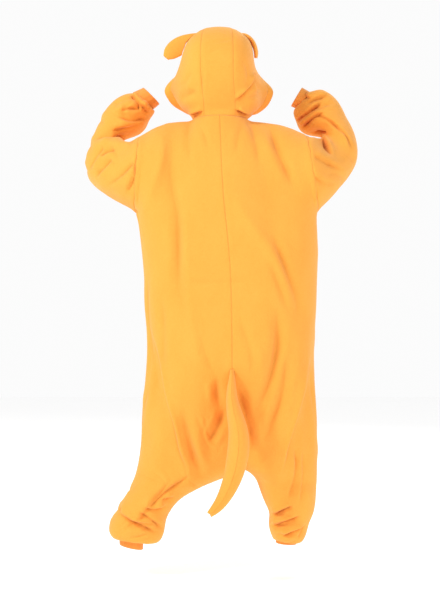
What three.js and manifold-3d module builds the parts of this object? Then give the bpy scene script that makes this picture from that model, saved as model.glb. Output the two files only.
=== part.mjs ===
// A kangaroo costume: a roomy hooded fleece onesie with a stuffed tail and two floppy ears. It is hollow
// and keeps the pose it was worn in: astride, both sleeves up, the hood's front edges held out.
// Millimetres. +Z is up, +Y is the way the wearer faces, +X is the wearer's right. The origin is the
// middle of the neck opening, where the wearer's shoulders carry the costume.
import * as THREE from 'three';
import { mergeVertices } from 'three/addons/utils/BufferGeometryUtils.js';
import Module from 'manifold-3d';

const wasm = await Module();
wasm.setup();

// Driving dimensions.
const CLOTH = 2.5; // fleece
const RIB = 3; // ribbed cuffs
const SEAM_GAP = 0.3; // between neighbouring pieces
const SIDE_Y = -8; // where the side seams lie, front to back
const SHOULDER = { tipX: { left: -256, right: 275 }, tipZ: -57, neckZ: -3 };
const NECK = { halfWidth: 86, halfDepth: 78, frontDrop: 60 };
const ARMHOLE_DEEP = 106; // half of the armhole, front to back
const BAND_WIDTH = 25; // the hood's edge band
const PLACKET = { halfWidth: 19, thick: 3, rows: 15 };
const BUTTON = { radius: 11, thick: 4, rim: 2, dish: 1, sides: 14, everyRows: 3, firstRow: 1, count: 5 };
const BACK_COLUMNS = { neck: 5, shoulder: 7 };
const FRONT_COLUMNS = { shoulder: 7, neck: 6 };
const STRIP_HALF_COLUMNS = 2; // half of the hood's centre strip
const YOKE_ROWS = 8; // neck to armpit
const CENTRE_BEND = { back: [0, -150, -60], front: [0, 126, -120] }; // where the centre seams turn from neck to chest
const EVENING_ROUNDS = 3; // smoothing of the body's columns
const EAR_SEAT = { firstRow: 6, reach: 24 }; // hood rows that an ear sits on, and how far in its root is cut
const TAIL_SEAT = { firstRow: 15, lastRow: 33, reach: 60 };
const CLOTH_COLOUR = 0xf9a83a;
const RIB_COLOUR = 0xf0932b;
const BUTTON_COLOUR = 0xe58a25;

// Body sections from the armpits down to the fork, seen as level cuts.
const TORSO = [
  { z: -301, left: -262, right: 304, middle: 12, back: -165, front: 140 },
  { z: -355, left: -253, right: 305, middle: 22, back: -168, front: 143 },
  { z: -415, left: -248, right: 308, middle: 29, back: -167, front: 145 },
  { z: -475, left: -243, right: 310, middle: 33, back: -165, front: 148 },
  { z: -535, left: -238, right: 310, middle: 35, back: -163, front: 148 },
  { z: -590, left: -233, right: 309, middle: 36, back: -161, front: 147 },
  { z: -640, left: -228, right: 305, middle: 37, back: -163, front: 145 },
  { z: -690, left: -228, right: 298, middle: 38, back: -168, front: 143 },
  { z: -740, left: -230, right: 292, middle: 38, back: -175, front: 140 },
  { z: -790, left: -233, right: 292, middle: 38, back: -179, front: 138 },
  { z: -838, left: -238, right: 300, middle: 38, back: -179, front: 136 },
  { z: -885, left: -242, right: 305, middle: 40, back: -175, front: 133 },
  { z: -932, left: -245, right: 308, middle: 43, back: -168, front: 130 },
  { z: -980, left: -246, right: 310, middle: 47, back: -160, front: 127 },
];

// The fork seam goes down, under and up again between the legs. A row for each body section there.
const FORK = [
  { seamX: 53, seamZ: -1030, reach: 0.96, left: [-247, -1020], right: [310, -1026], back: -153, front: 123 },
  { seamX: 60, seamZ: -1076, reach: 0.8, left: [-250, -1048], right: [309, -1058], back: -147, front: 120 },
  { seamX: 66, seamZ: -1105, reach: 0.48, left: [-254, -1074], right: [308, -1088], back: -142, front: 117 },
  { seamX: 71, seamZ: -1119, reach: 0.1, left: [-258, -1099], right: [307, -1115], back: -138, front: 114 },
];

// Leg sections: the outer and the inner edge as [x, z], the middle and half depth along Y.
const LEG = {
  right: [
    { outer: [307, -1140], inner: [98, -1118], y: -8, deep: 122 },
    { outer: [306, -1162], inner: [113, -1130], y: -6, deep: 118 },
    { outer: [304, -1188], inner: [122, -1156], y: -4, deep: 113 },
    { outer: [302, -1216], inner: [133, -1198], y: -2, deep: 107 },
    { outer: [299, -1242], inner: [146, -1236], y: 0, deep: 99 },
    { outer: [293, -1266], inner: [159, -1264], y: 2, deep: 91 },
    { outer: [281, -1290], inner: [155, -1290], y: 4, deep: 84 },
    { outer: [276, -1318], inner: [157, -1318], y: 6, deep: 80 },
    { outer: [268, -1342], inner: [166, -1338], y: 8, deep: 74 },
    { outer: [257, -1355], inner: [172, -1350], y: 9, deep: 62 },
    { outer: [250, -1346], inner: [176, -1342], y: 9, deep: 52 },
    { outer: [243, -1326], inner: [181, -1322], y: 9, deep: 43 },
  ],
  left: [
    { outer: [-262, -1122], inner: [36, -1132], y: -14, deep: 119 },
    { outer: [-268, -1145], inner: [-4, -1154], y: -18, deep: 116 },
    { outer: [-276, -1167], inner: [-48, -1174], y: -22, deep: 113 },
    { outer: [-290, -1189], inner: [-90, -1192], y: -27, deep: 109 },
    { outer: [-304, -1211], inner: [-122, -1209], y: -32, deep: 104 },
    { outer: [-320, -1234], inner: [-145, -1230], y: -36, deep: 98 },
    { outer: [-335, -1258], inner: [-161, -1251], y: -40, deep: 92 },
    { outer: [-348, -1281], inner: [-173, -1275], y: -43, deep: 87 },
    { outer: [-353, -1304], inner: [-177, -1304], y: -46, deep: 83 },
    { outer: [-348, -1324], inner: [-182, -1332], y: -48, deep: 77 },
    { outer: [-335, -1338], inner: [-200, -1353], y: -50, deep: 64 },
    { outer: [-328, -1328], inner: [-226, -1343], y: -50, deep: 54 },
    { outer: [-318, -1314], inner: [-244, -1330], y: -50, deep: 43 },
  ],
};
const LEG_CUFF_END = {
  right: { outer: [244, -1363], inner: [180, -1359], y: 8, deep: 40 },
  left: { outer: [-316, -1354], inner: [-245, -1371], y: -50, deep: 40 },
};

// Sleeve sections from the armhole, round the bent elbow and up to the wrist. inner is the edge that
// faces the hood and outer the edge that faces away, as [x, z].
const SLEEVE = {
  left: [
    { inner: [-284, -76], outer: [-319, -275], y: 12, deep: 107 },
    { inner: [-298, -78], outer: [-380, -238], y: 44, deep: 105 },
    { inner: [-308, -71], outer: [-427, -193], y: 78, deep: 101 },
    { inner: [-315, -63], outer: [-441, -140], y: 106, deep: 97 },
    { inner: [-318, -54], outer: [-432, -91], y: 126, deep: 94 },
    { inner: [-303, -48], outer: [-420, -52], y: 140, deep: 92 },
    { inner: [-283, -42], outer: [-407, -18], y: 150, deep: 90 },
    { inner: [-258, -30], outer: [-395, 11], y: 154, deep: 88 },
    { inner: [-242, -12], outer: [-381, 38], y: 155, deep: 84 },
    { inner: [-234, 12], outer: [-362, 63], y: 153, deep: 78 },
    { inner: [-219, 31], outer: [-339, 83], y: 151, deep: 70 },
    { inner: [-213, 42], outer: [-310, 98], y: 149, deep: 58 },
    { inner: [-221, 48], outer: [-288, 100], y: 148, deep: 41 },
  ],
  right: [
    { inner: [295, -67], outer: [341, -269], y: 12, deep: 107 },
    { inner: [311, -66], outer: [384, -225], y: 44, deep: 105 },
    { inner: [326, -60], outer: [423, -179], y: 78, deep: 101 },
    { inner: [335, -52], outer: [450, -126], y: 106, deep: 97 },
    { inner: [337, -42], outer: [450, -76], y: 126, deep: 94 },
    { inner: [321, -40], outer: [442, -36], y: 140, deep: 92 },
    { inner: [300, -36], outer: [431, -4], y: 150, deep: 90 },
    { inner: [277, -28], outer: [418, 20], y: 154, deep: 88 },
    { inner: [262, -12], outer: [409, 45], y: 155, deep: 84 },
    { inner: [256, 10], outer: [393, 73], y: 153, deep: 78 },
    { inner: [246, 29], outer: [367, 98], y: 151, deep: 69 },
    { inner: [247, 43], outer: [333, 110], y: 149, deep: 56 },
    { inner: [255, 51], outer: [302, 98], y: 148, deep: 41 },
  ],
};
const SLEEVE_CUFF_END = {
  left: { inner: [-201, 66], outer: [-252, 116], y: 146, deep: 37 },
  right: { inner: [235, 59], outer: [270, 117], y: 146, deep: 37 },
};

// Hood rows from the neck seam up to the crown. back is the strip's seam and edge the face opening, as
// [x, y, z]; bulge holds the side's widest x, first nearer the back and then nearer the opening.
const HOOD_SIDE = {
  left: [
    { back: [-50, -71, 18], bulge: [-108, -114], edge: [-51, 86, -8], lift: 12 },
    { back: [-51, -83, 40], bulge: [-122, -148], edge: [-110, 88, 34] },
    { back: [-55, -97, 66], bulge: [-121, -150], edge: [-140, 86, 61] },
    { back: [-58, -109, 92], bulge: [-120, -144], edge: [-152, 83, 88] },
    { back: [-60, -118, 121], bulge: [-117, -146], edge: [-164, 84, 105] },
    { back: [-61, -123, 152], bulge: [-119, -142], edge: [-155, 92, 132] },
    { back: [-61, -122, 184], bulge: [-124, -134], edge: [-129, 104, 169] },
    { back: [-60, -112, 216], bulge: [-126, -126], edge: [-109, 113, 207] },
    { back: [-58, -92, 244], bulge: [-116, -116], edge: [-94, 116, 238] },
    { back: [-56, -68, 263], bulge: [-92, -98], edge: [-78, 115, 258] },
    { back: [-54, -40, 277], edge: [-53, 112, 272] },
  ],
  right: [
    { back: [50, -71, 18], bulge: [110, 116], edge: [51, 86, -11], lift: 12 },
    { back: [49, -83, 40], bulge: [124, 140], edge: [110, 88, 26] },
    { back: [46, -97, 66], bulge: [127, 126], edge: [140, 86, 52] },
    { back: [44, -109, 92], bulge: [125, 108], edge: [151, 83, 80] },
    { back: [43, -118, 121], bulge: [122, 104], edge: [161, 82, 103] },
    { back: [42, -123, 152], bulge: [120, 102], edge: [145, 90, 132] },
    { back: [42, -122, 184], bulge: [117, 104], edge: [117, 104, 167] },
    { back: [42, -112, 216], bulge: [116, 110], edge: [100, 113, 207] },
    { back: [41, -92, 244], bulge: [108, 108], edge: [86, 116, 238] },
    { back: [40, -68, 263], bulge: [88, 90], edge: [70, 115, 258] },
    { back: [39, -40, 277], edge: [41, 112, 272] },
  ],
};
const CROWN = { height: 290, stripBulge: 5 };

// How far the hood's edge band turns outwards from the side that it is sewn to, in degrees: at the neck
// and at each hood row. BAND_FOOT is the way it leaves the neck seam.
const BAND_TURN = {
  left: [0, 10, 20, 50, 65, 50, 20, 0, -10, -20, -20, -20],
  right: [0, 10, 20, 25, 25, 15, 0, 0, -10, -20, -20, -20],
};
const BAND_FOOT = { left: [-0.35, 0.85, 0.4], right: [0.35, 0.85, 0.4] };

// The largest folds, on the side that faces back. A press sinks the cloth along its path, or raises it
// where depth is negative, and a step sinks all that lies beyond it. path holds [x, z] points.
const FOLDS = [
  { on: 'body', kind: 'press', depth: 9, width: 26, path: [[157, -22], [192, -125], [218, -176], [234, -214]] },
  { on: 'body', kind: 'press', depth: 9, width: 28, path: [[-148, -70], [-158, -198], [-138, -294], [-134, -528], [-112, -660]] },
  { on: 'body', kind: 'press', depth: -8, width: 28, path: [[-182, -48], [-186, -141], [-216, -230], [-222, -310]] },
  { on: 'body', kind: 'press', depth: -9, width: 30, path: [[42, -262], [106, -352], [192, -464], [224, -560]] },
  { on: 'body', kind: 'press', depth: 10, width: 26, path: [[160, -360], [216, -510], [244, -600], [246, -640]] },
  { on: 'body', kind: 'press', depth: 13, width: 26, path: [[178, -620], [184, -733], [164, -829], [120, -944]] },
  { on: 'body', kind: 'press', depth: 10, width: 24, path: [[214, -742], [202, -877], [166, -982], [134, -1046]] },
  { on: 'body', kind: 'press', depth: 13, width: 24, path: [[-122, -934], [-106, -1021], [-86, -1085], [-60, -1140]] },
  { on: 'body', kind: 'press', depth: 12, width: 22, path: [[-12, -822], [-12, -886], [4, -938]] },
  { on: 'body', kind: 'press', depth: 13, width: 22, path: [[14, -928], [-10, -998], [-38, -1046]] },
  { on: 'body', kind: 'press', depth: 14, width: 22, path: [[62, -850], [78, -925], [94, -992], [108, -1060]] },
  { on: 'body', kind: 'step', depth: 20, width: 26, side: 1, path: [[296, -730], [278, -848], [250, -957], [214, -1078], [195, -1152]] },
  { on: 'body', kind: 'step', depth: 20, width: 26, side: -1, path: [[-228, -640], [-202, -742], [-182, -848], [-144, -992], [-118, -1100], [-102, -1184]] },
  { on: 'sleeve_left', kind: 'press', depth: 13, width: 20, path: [[-292, -52], [-330, -46], [-392, -40]] },
  { on: 'sleeve_left', kind: 'press', depth: -8, width: 20, path: [[-310, -100], [-362, -88], [-412, -84]] },
  { on: 'sleeve_right', kind: 'press', depth: 13, width: 20, path: [[290, -44], [344, -22], [372, -88]] },
  { on: 'sleeve_right', kind: 'press', depth: -9, width: 20, path: [[318, 18], [375, 2], [424, -48], [446, -100]] },
  { on: 'sleeve_right', kind: 'press', depth: 8, width: 18, path: [[258, 14], [340, 74]] },
  { on: 'hood', kind: 'press', depth: 8, width: 16, path: [[54, 48], [98, 104], [100, 146]] },
  { on: 'hood', kind: 'press', depth: 7, width: 16, path: [[-126, 56], [-66, 84]] },
];

const STEP_FADE = { from: 60, to: 200, end: 70 }; // where a step dies out, across it and past its ends

// Ears: stations from the root to the tip with the middle of the ear, the way its width runs, its half
// width and its half thickness.
const EAR = {
  left: [
    { at: [-70, 6, 254], across: [0.1, 0.3, 0.95], half: 22, thick: 9 },
    { at: [-96, 6, 247], across: [-0.1, 0.3, 0.95], half: 27, thick: 10 },
    { at: [-120, 4, 237], across: [-0.35, 0.25, 0.9], half: 31, thick: 9 },
    { at: [-142, 0, 222], across: [-0.5, 0.2, 0.8], half: 31, thick: 8 },
    { at: [-160, -5, 205], across: [-0.6, 0.15, 0.7], half: 25, thick: 7 },
    { at: [-172, -9, 191], across: [-0.65, 0.1, 0.65], half: 13, thick: 5 },
  ],
  right: [
    { at: [60, 8, 264], across: [-0.2, 0.95, 0.3], half: 24, thick: 9 },
    { at: [81, 10, 264], across: [-0.1, 1, 0.1], half: 28, thick: 10 },
    { at: [100, 14, 251], across: [0, 1, 0], half: 30, thick: 9 },
    { at: [112, 18, 232], across: [0.1, 1, 0], half: 29, thick: 8 },
    { at: [117, 20, 211], across: [0.15, 1, 0], half: 23, thick: 7 },
    { at: [115, 21, 195], across: [0.15, 1, 0], half: 12, thick: 5 },
  ],
};

// Tail: stations from its root on the centre back seam to the tip, with the half width across the body
// and the half depth front to back.
const TAIL = [
  { at: [37, -174, -797], half: 6, deep: 8 },
  { at: [37, -183, -826], half: 10, deep: 24 },
  { at: [35, -194, -858], half: 15, deep: 40 },
  { at: [36, -204, -892], half: 19, deep: 51 },
  { at: [45, -214, -933], half: 25, deep: 55 },
  { at: [56, -225, -975], half: 30, deep: 51 },
  { at: [58, -233, -1018], half: 34, deep: 45 },
  { at: [53, -239, -1063], half: 34, deep: 41 },
  { at: [42, -242, -1112], half: 30, deep: 36 },
  { at: [27, -242, -1151], half: 26, deep: 31 },
  { at: [9, -241, -1187], half: 21, deep: 25 },
  { at: [-11, -238, -1214], half: 17, deep: 19 },
  { at: [-32, -236, -1233], half: 10, deep: 11 },
];

const V = (x, y, z) => new THREE.Vector3(x, y, z);
const toVector = (list) => V(...list);
const SIGN = { left: -1, right: 1 };

// A polyline cut into equal lengths, or with a last length of its own.
function resample(points, segments, lastLength) {
  const along = [0];
  for (let i = 1; i < points.length; i += 1) along.push(along[i - 1] + points[i].distanceTo(points[i - 1]));
  const total = along[along.length - 1];
  const step = lastLength ? (total - lastLength) / (segments - 1) : total / segments;
  const result = [];
  for (let k = 0, i = 1; k <= segments; k += 1) {
    const wanted = k === segments ? total : k * step;
    while (i < points.length - 1 && along[i] < wanted) i += 1;
    const share = (wanted - along[i - 1]) / Math.max(along[i] - along[i - 1], 1e-9);
    result.push(points[i - 1].clone().lerp(points[i], Math.min(share, 1)));
  }
  return result;
}

// A quarter of a rounded rectangle from p, where it runs along X, to q, where it runs along Y.
function quarter(p, q, squareness = 2.5, steps = 24) {
  const points = [];
  for (let i = 0; i <= steps; i += 1) {
    const turn = (i / steps) * (Math.PI / 2);
    const x = p[0] + (q[0] - p[0]) * Math.sin(turn) ** (2 / squareness);
    const y = q[1] + (p[1] - q[1]) * Math.max(Math.cos(turn), 0) ** (2 / squareness);
    points.push([x, y]);
  }
  return points;
}

// Half a body section: from the back seam round the side to the front seam. cx is where the section is
// deepest, and height gives z from x.
function halfSection({ seamX, seamBack, seamFront, cx, outerX, sideY, back, front, height }, fork = 2) {
  const lift = ([x, y]) => V(x, y, height(x));
  const backPart = [
    ...quarter([cx, back], [seamX, seamBack], fork).reverse(),
    ...quarter([cx, back], [outerX, sideY]).slice(1),
  ].map(lift);
  const frontPart = [
    ...quarter([cx, front], [outerX, sideY]).reverse(),
    ...quarter([cx, front], [seamX, seamFront], fork).slice(1),
  ].map(lift);
  const backCount = BACK_COLUMNS.neck + BACK_COLUMNS.shoulder;
  const frontCount = FRONT_COLUMNS.shoulder + FRONT_COLUMNS.neck;
  return [...resample(backPart, backCount), ...resample(frontPart, frontCount, PLACKET.halfWidth).slice(1)];
}

const slope = (x0, z0, x1, z1) => (x) => z0 + (z1 - z0) * THREE.MathUtils.smootherstep((x - x0) / (x1 - x0), 0, 1);

// The flat of the back grows towards the legs, as the cloth spans from one leg to the other.
const flatShare = (z) => 0.5 * THREE.MathUtils.smoothstep(-z, 500, 1000);

function torsoRow(row, side) {
  const outerX = row[side];
  return halfSection({
    seamX: row.middle, seamBack: row.back, seamFront: row.front,
    cx: row.middle + flatShare(row.z) * (outerX - row.middle),
    outerX, sideY: SIDE_Y, back: row.back, front: row.front, height: () => row.z,
  });
}

function forkRow(row, side) {
  const [outerX, outerZ] = row[side];
  return halfSection({
    seamX: row.seamX, seamBack: SIDE_Y + (row.back - SIDE_Y) * row.reach,
    seamFront: SIDE_Y + (row.front - SIDE_Y) * row.reach,
    cx: row.seamX + 0.5 * (outerX - row.seamX),
    outerX, sideY: SIDE_Y, back: row.back, front: row.front,
    height: slope(row.seamX, row.seamZ, row.seamX + 0.5 * (outerX - row.seamX), outerZ),
  });
}

function legRow(row) {
  const [outerX, outerZ] = row.outer;
  const [innerX, innerZ] = row.inner;
  return halfSection({
    seamX: innerX, seamBack: row.y, seamFront: row.y, cx: (innerX + outerX) / 2,
    outerX, sideY: row.y, back: row.y - row.deep, front: row.y + row.deep,
    height: (x) => innerZ + ((outerZ - innerZ) * (x - innerX)) / (outerX - innerX),
  }, 2.2);
}

// The point where both leg tubes and the fork seam meet, and the body section through it.
const FORK_POINT = V(73, SIDE_Y, -1122);
const FORK_END = { left: [-260, -1111], right: [307, -1128], back: -134, front: 111 };

function closedAtFork(row, side) {
  const [outerX, outerZ] = row[side];
  return halfSection({
    seamX: FORK_POINT.x, seamBack: SIDE_Y, seamFront: SIDE_Y, cx: (FORK_POINT.x + outerX) / 2,
    outerX, sideY: SIDE_Y, back: row.back, front: row.front,
    height: slope(FORK_POINT.x, FORK_POINT.z, (FORK_POINT.x + outerX) / 2, outerZ),
  }, 2.2);
}

// The neck opening, from the middle of the back (0) to the middle of the front (pi).
function neckPoint(turn, side) {
  const drop = Math.max(0, -Math.cos(turn)) ** 1.4 * NECK.frontDrop;
  const sideDrop = Math.abs(Math.sin(turn)) * -SHOULDER.neckZ;
  return V(SIGN[side] * NECK.halfWidth * Math.sin(turn), -NECK.halfDepth * Math.cos(turn), -drop - sideDrop);
}
const neckBack = (side) => Array.from({ length: BACK_COLUMNS.neck + 1 }, (_, i) => (
  neckPoint((i / BACK_COLUMNS.neck) * (Math.PI / 2), side)));
const neckFront = (side) => Array.from({ length: FRONT_COLUMNS.neck + 1 }, (_, i) => {
  const placketTurn = Math.PI - Math.asin(PLACKET.halfWidth / NECK.halfWidth);
  const share = i / (FRONT_COLUMNS.neck - 1);
  return neckPoint(share > 1 ? Math.PI : THREE.MathUtils.lerp(Math.PI / 2, placketTurn, share), side);
});

// The shoulder seam, from the neck to the armhole.
function shoulderSeam(side) {
  const from = neckPoint(Math.PI / 2, side);
  const tip = V(SHOULDER.tipX[side], SIDE_Y, SHOULDER.tipZ);
  return Array.from({ length: BACK_COLUMNS.shoulder + 1 }, (_, i) => {
    const share = i / BACK_COLUMNS.shoulder;
    return V(
      THREE.MathUtils.lerp(from.x, tip.x, share),
      THREE.MathUtils.lerp(from.y, tip.y, share),
      from.z + (tip.z - from.z) * share ** 2.4,
    );
  });
}

const armholeRow = (side) => ({
  inner: [SHOULDER.tipX[side], SHOULDER.tipZ], outer: [TORSO[0][side], TORSO[0].z], y: SIDE_Y, deep: ARMHOLE_DEEP,
});

// A sleeve section: from its inner edge round the back, the outer edge and the front to the start.
function sleeveRing(row, quarterSteps = YOKE_ROWS) {
  const half = (sideSign) => {
    const dense = Array.from({ length: 49 }, (_, i) => {
      const turn = (i / 48) * Math.PI;
      const reach = Math.sign(Math.cos(turn)) * Math.abs(Math.cos(turn)) ** 0.9;
      return V(
        (row.inner[0] + row.outer[0]) / 2 + ((row.inner[0] - row.outer[0]) / 2) * reach,
        row.y + sideSign * row.deep * Math.sin(turn) ** 0.85,
        (row.inner[1] + row.outer[1]) / 2 + ((row.inner[1] - row.outer[1]) / 2) * reach,
      );
    });
    return resample(dense, quarterSteps);
  };
  return [...half(-1), ...half(1).reverse().slice(1)];
}

function bezier(a, b, c, segments, d) {
  const curve = d ? new THREE.CubicBezierCurve3(a, b, c, d) : new THREE.QuadraticBezierCurve3(a, b, c);
  return Array.from({ length: segments + 1 }, (_, i) => curve.getPointAt(i / segments));
}

// A curve stretched to new ends.
function stretch(curve, from, to) {
  const last = curve.length - 1;
  const share = (axis, point) => (point[axis] - curve[0][axis]) / (curve[last][axis] - curve[0][axis]);
  return curve.map((point, c) => V(
    THREE.MathUtils.lerp(from.x, to.x, share('x', point)),
    THREE.MathUtils.lerp(from.y, to.y, share('y', point)),
    point.z + THREE.MathUtils.lerp(from.z - curve[0].z, to.z - curve[last].z, c / last),
  ));
}

// A yoke spans from the neck and shoulder line down to the chest line, between two edges.
function yoke(top, bottom, left, right) {
  return left.map((from, r) => {
    const upper = stretch(top, from, right[r]);
    const lower = stretch(bottom, from, right[r]);
    return upper.map((point, c) => point.lerp(lower[c], r / (left.length - 1)));
  });
}

// Every panel is a grid of points with rows down (or along) it. turned says which way it faces.
const panels = [];
const addPanel = (name, grid, turned, wall = CLOTH, colour = CLOTH_COLOUR) => {
  panels.push({ name, grid, turned, wall, colour });
};

function bodyPanels(side) {
  const chest = torsoRow(TORSO[0], side);
  const backCount = BACK_COLUMNS.neck + BACK_COLUMNS.shoulder;
  const armhole = sleeveRing(armholeRow(side));
  const backArmhole = armhole.slice(0, YOKE_ROWS + 1);
  const frontArmhole = armhole.slice(YOKE_ROWS).reverse();
  const middleBack = bezier(neckPoint(0, side), toVector(CENTRE_BEND.back), chest[0], YOKE_ROWS);
  const middleFront = bezier(neckPoint(Math.PI, side), toVector(CENTRE_BEND.front), chest[chest.length - 1], YOKE_ROWS);
  const backYoke = yoke(
    [...neckBack(side), ...shoulderSeam(side).slice(1)], chest.slice(0, backCount + 1), middleBack, backArmhole);
  const frontYoke = yoke(
    [...shoulderSeam(side).reverse(), ...neckFront(side).slice(1)], chest.slice(backCount), frontArmhole, middleFront);
  const lower = [
    ...TORSO.slice(1).map((row) => torsoRow(row, side)),
    ...FORK.map((row) => forkRow(row, side)),
    closedAtFork(FORK_END, side),
    ...LEG[side].map(legRow),
  ];
  addPanel(`body_back_${side}`, [...backYoke, ...lower.map((row) => row.slice(0, backCount + 1))], side === 'left');
  addPanel(`body_front_${side}`, [...frontYoke, ...lower.map((row) => row.slice(backCount))], side === 'left');
  const seamRow = lower[lower.length - 1];
  const endRow = legRow(LEG_CUFF_END[side]);
  const middleRow = seamRow.map((point, i) => point.clone().lerp(endRow[i], 0.5));
  addPanel(`leg_cuff_${side}`, [seamRow, middleRow, endRow], side === 'left', RIB, RIB_COLOUR);
}

function sleevePanels(side) {
  const rings = [armholeRow(side), ...SLEEVE[side]].map((row) => sleeveRing(row));
  const end = sleeveRing(SLEEVE_CUFF_END[side]);
  // The underarm seam is at the outer edge, so the grid starts there and runs once round.
  const fromSeam = (ring) => [...ring.slice(YOKE_ROWS), ...ring.slice(1, YOKE_ROWS + 1)];
  addPanel(`sleeve_${side}`, rings.map(fromSeam), side === 'right');
  const last = rings[rings.length - 1];
  const middle = last.map((point, i) => point.clone().lerp(end[i], 0.5));
  addPanel(`sleeve_cuff_${side}`, [last, middle, end].map(fromSeam), side === 'right', RIB, RIB_COLOUR);
}

const SIDE_SEGMENTS = BACK_COLUMNS.neck - STRIP_HALF_COLUMNS + FRONT_COLUMNS.neck;

// The strip's seam over the crown, from the back of the crown to the forehead.
function crownSeam(side) {
  const last = HOOD_SIDE[side][HOOD_SIDE[side].length - 1];
  const from = toVector(last.back);
  const to = toVector(last.edge);
  const rise = V(from.x, from.y * 0.2, CROWN.height);
  return bezier(from, rise, V(to.x, to.y * 0.6, CROWN.height), SIDE_SEGMENTS, to);
}

function hoodSideGrid(side) {
  const neckEdge = [...neckBack(side).slice(STRIP_HALF_COLUMNS), ...neckFront(side).slice(1)];
  const rows = HOOD_SIDE[side].slice(0, -1).map(({ back, bulge, edge, lift = 0 }) => {
    const from = toVector(back);
    const to = toVector(edge);
    const depth = to.y - from.y;
    const first = V(bulge[0], from.y + 0.06 * depth, THREE.MathUtils.lerp(from.z, to.z, 0.1) + lift);
    const second = V(bulge[1], from.y + 0.62 * depth, THREE.MathUtils.lerp(from.z, to.z, 0.5) + lift);
    return bezier(from, first, second, SIDE_SEGMENTS, to);
  });
  return [neckEdge, ...rows, crownSeam(side)];
}

function hoodPanels() {
  const left = hoodSideGrid('left');
  const right = hoodSideGrid('right');
  const seamOf = (grid) => [...grid.map((row) => row[0]), ...grid[grid.length - 1].slice(1)];
  const leftSeam = seamOf(left);
  const rightSeam = seamOf(right);
  const neckLeft = neckBack('left');
  const neckRight = neckBack('right');
  const across = 2 * STRIP_HALF_COLUMNS;
  const strip = leftSeam.map((point, r) => Array.from({ length: across + 1 }, (_, c) => {
    const share = c / across;
    const flat = point.clone().lerp(rightSeam[r], share);
    if (r === 0) return (c < STRIP_HALF_COLUMNS ? neckLeft[STRIP_HALF_COLUMNS - c] : neckRight[c - STRIP_HALF_COLUMNS]).clone();
    const out = V(0, flat.y - 10, flat.z - 140).normalize();
    return flat.addScaledVector(out, CROWN.stripBulge * Math.sin(Math.PI * share) * Math.min(1, r / 2));
  }));
  addPanel('hood_side_left', left, false);
  addPanel('hood_side_right', right, true);
  addPanel('hood_centre_strip', strip, true);

  // The edge band runs up the left of the face opening, over the forehead and down the right.
  const edgeOf = (grid, side) => grid.map((row, i) => ({
    at: row[row.length - 1], inside: row[row.length - 2], turn: BAND_TURN[side][i], foot: i === 0 && BAND_FOOT[side],
  }));
  const forehead = strip[strip.length - 1].slice(1, -1).map((at, c) => ({
    at, inside: strip[strip.length - 2][c + 1], turn: BAND_TURN.left[BAND_TURN.left.length - 1],
  }));
  const edges = [...edgeOf(left, 'left'), ...forehead, ...edgeOf(right, 'right').reverse()];
  const band = edges.map(({ at, inside, turn, foot }, i) => {
    const along = edges[Math.min(i + 1, edges.length - 1)].at.clone().sub(edges[Math.max(i - 1, 0)].at).normalize();
    const onward = at.clone().sub(inside);
    onward.addScaledVector(along, -onward.dot(along)).normalize();
    const outward = along.clone().cross(onward).normalize();
    const angle = THREE.MathUtils.degToRad(turn);
    const way = onward.multiplyScalar(Math.cos(angle)).addScaledVector(outward, Math.sin(angle));
    const step = (foot ? toVector(foot).normalize() : way).multiplyScalar((BAND_WIDTH / 2) * (foot ? 0.6 : 1));
    return [at.clone(), at.clone().add(step), at.clone().addScaledVector(step, 2)];
  });
  addPanel('hood_edge_band', band, false);
}

['left', 'right'].forEach((side) => {
  bodyPanels(side);
  sleevePanels(side);
});
hoodPanels();

// Panels that share a seam share its points, so all are sewn into one surface before they get a wall.
const sewn = new Map();
const keyOf = (point) => [point.x, point.y, point.z].map((value) => Math.round(value * 50)).join(',');

function sewPanels() {
  panels.forEach((panel) => {
    panel.ids = panel.grid.map((row) => row.map((point) => {
      const key = keyOf(point);
      if (!sewn.has(key)) sewn.set(key, { point: point.clone(), normal: V(0, 0, 0), panels: new Set() });
      const vertex = sewn.get(key);
      vertex.panels.add(panel.name);
      return vertex;
    }));
  });
}

const cross = (a, b, c) => b.clone().sub(a).cross(c.clone().sub(a));

function findNormals() {
  sewn.forEach((vertex) => vertex.normal.set(0, 0, 0));
  panels.forEach(({ ids, turned }) => {
    for (let r = 0; r + 1 < ids.length; r += 1) {
      for (let c = 0; c + 1 < ids[r].length; c += 1) {
        const corners = [ids[r][c], ids[r + 1][c], ids[r + 1][c + 1], ids[r][c + 1]];
        const [a, b, d, e] = corners.map((corner) => corner.point);
        const face = cross(a, b, d).add(cross(a, d, e)).multiplyScalar(turned ? -1 : 1);
        corners.forEach((corner) => corner.normal.add(face));
      }
    }
  });
  sewn.forEach((vertex) => vertex.normal.normalize());
}

// Distance from a point to a path on the XZ plane, and which side of it the point is on.
function toPath(x, z, path) {
  let best = { distance: Infinity, offset: 0 };
  let end = false;
  for (let i = 0; i + 1 < path.length; i += 1) {
    const [ax, az] = path[i];
    const [bx, bz] = path[i + 1];
    const length = Math.hypot(bx - ax, bz - az);
    const raw = ((x - ax) * (bx - ax) + (z - az) * (bz - az)) / length ** 2;
    const share = Math.min(Math.max(raw, 0), 1);
    const distance = Math.hypot(x - ax - share * (bx - ax), z - az - share * (bz - az));
    if (distance < best.distance) {
      end = (i === 0 && raw < 0) || (i === path.length - 2 && raw > 1);
      best = { distance, offset: ((x - ax) * (bz - az) - (z - az) * (bx - ax)) / length };
    }
  }
  return { ...best, end };
}

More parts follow.
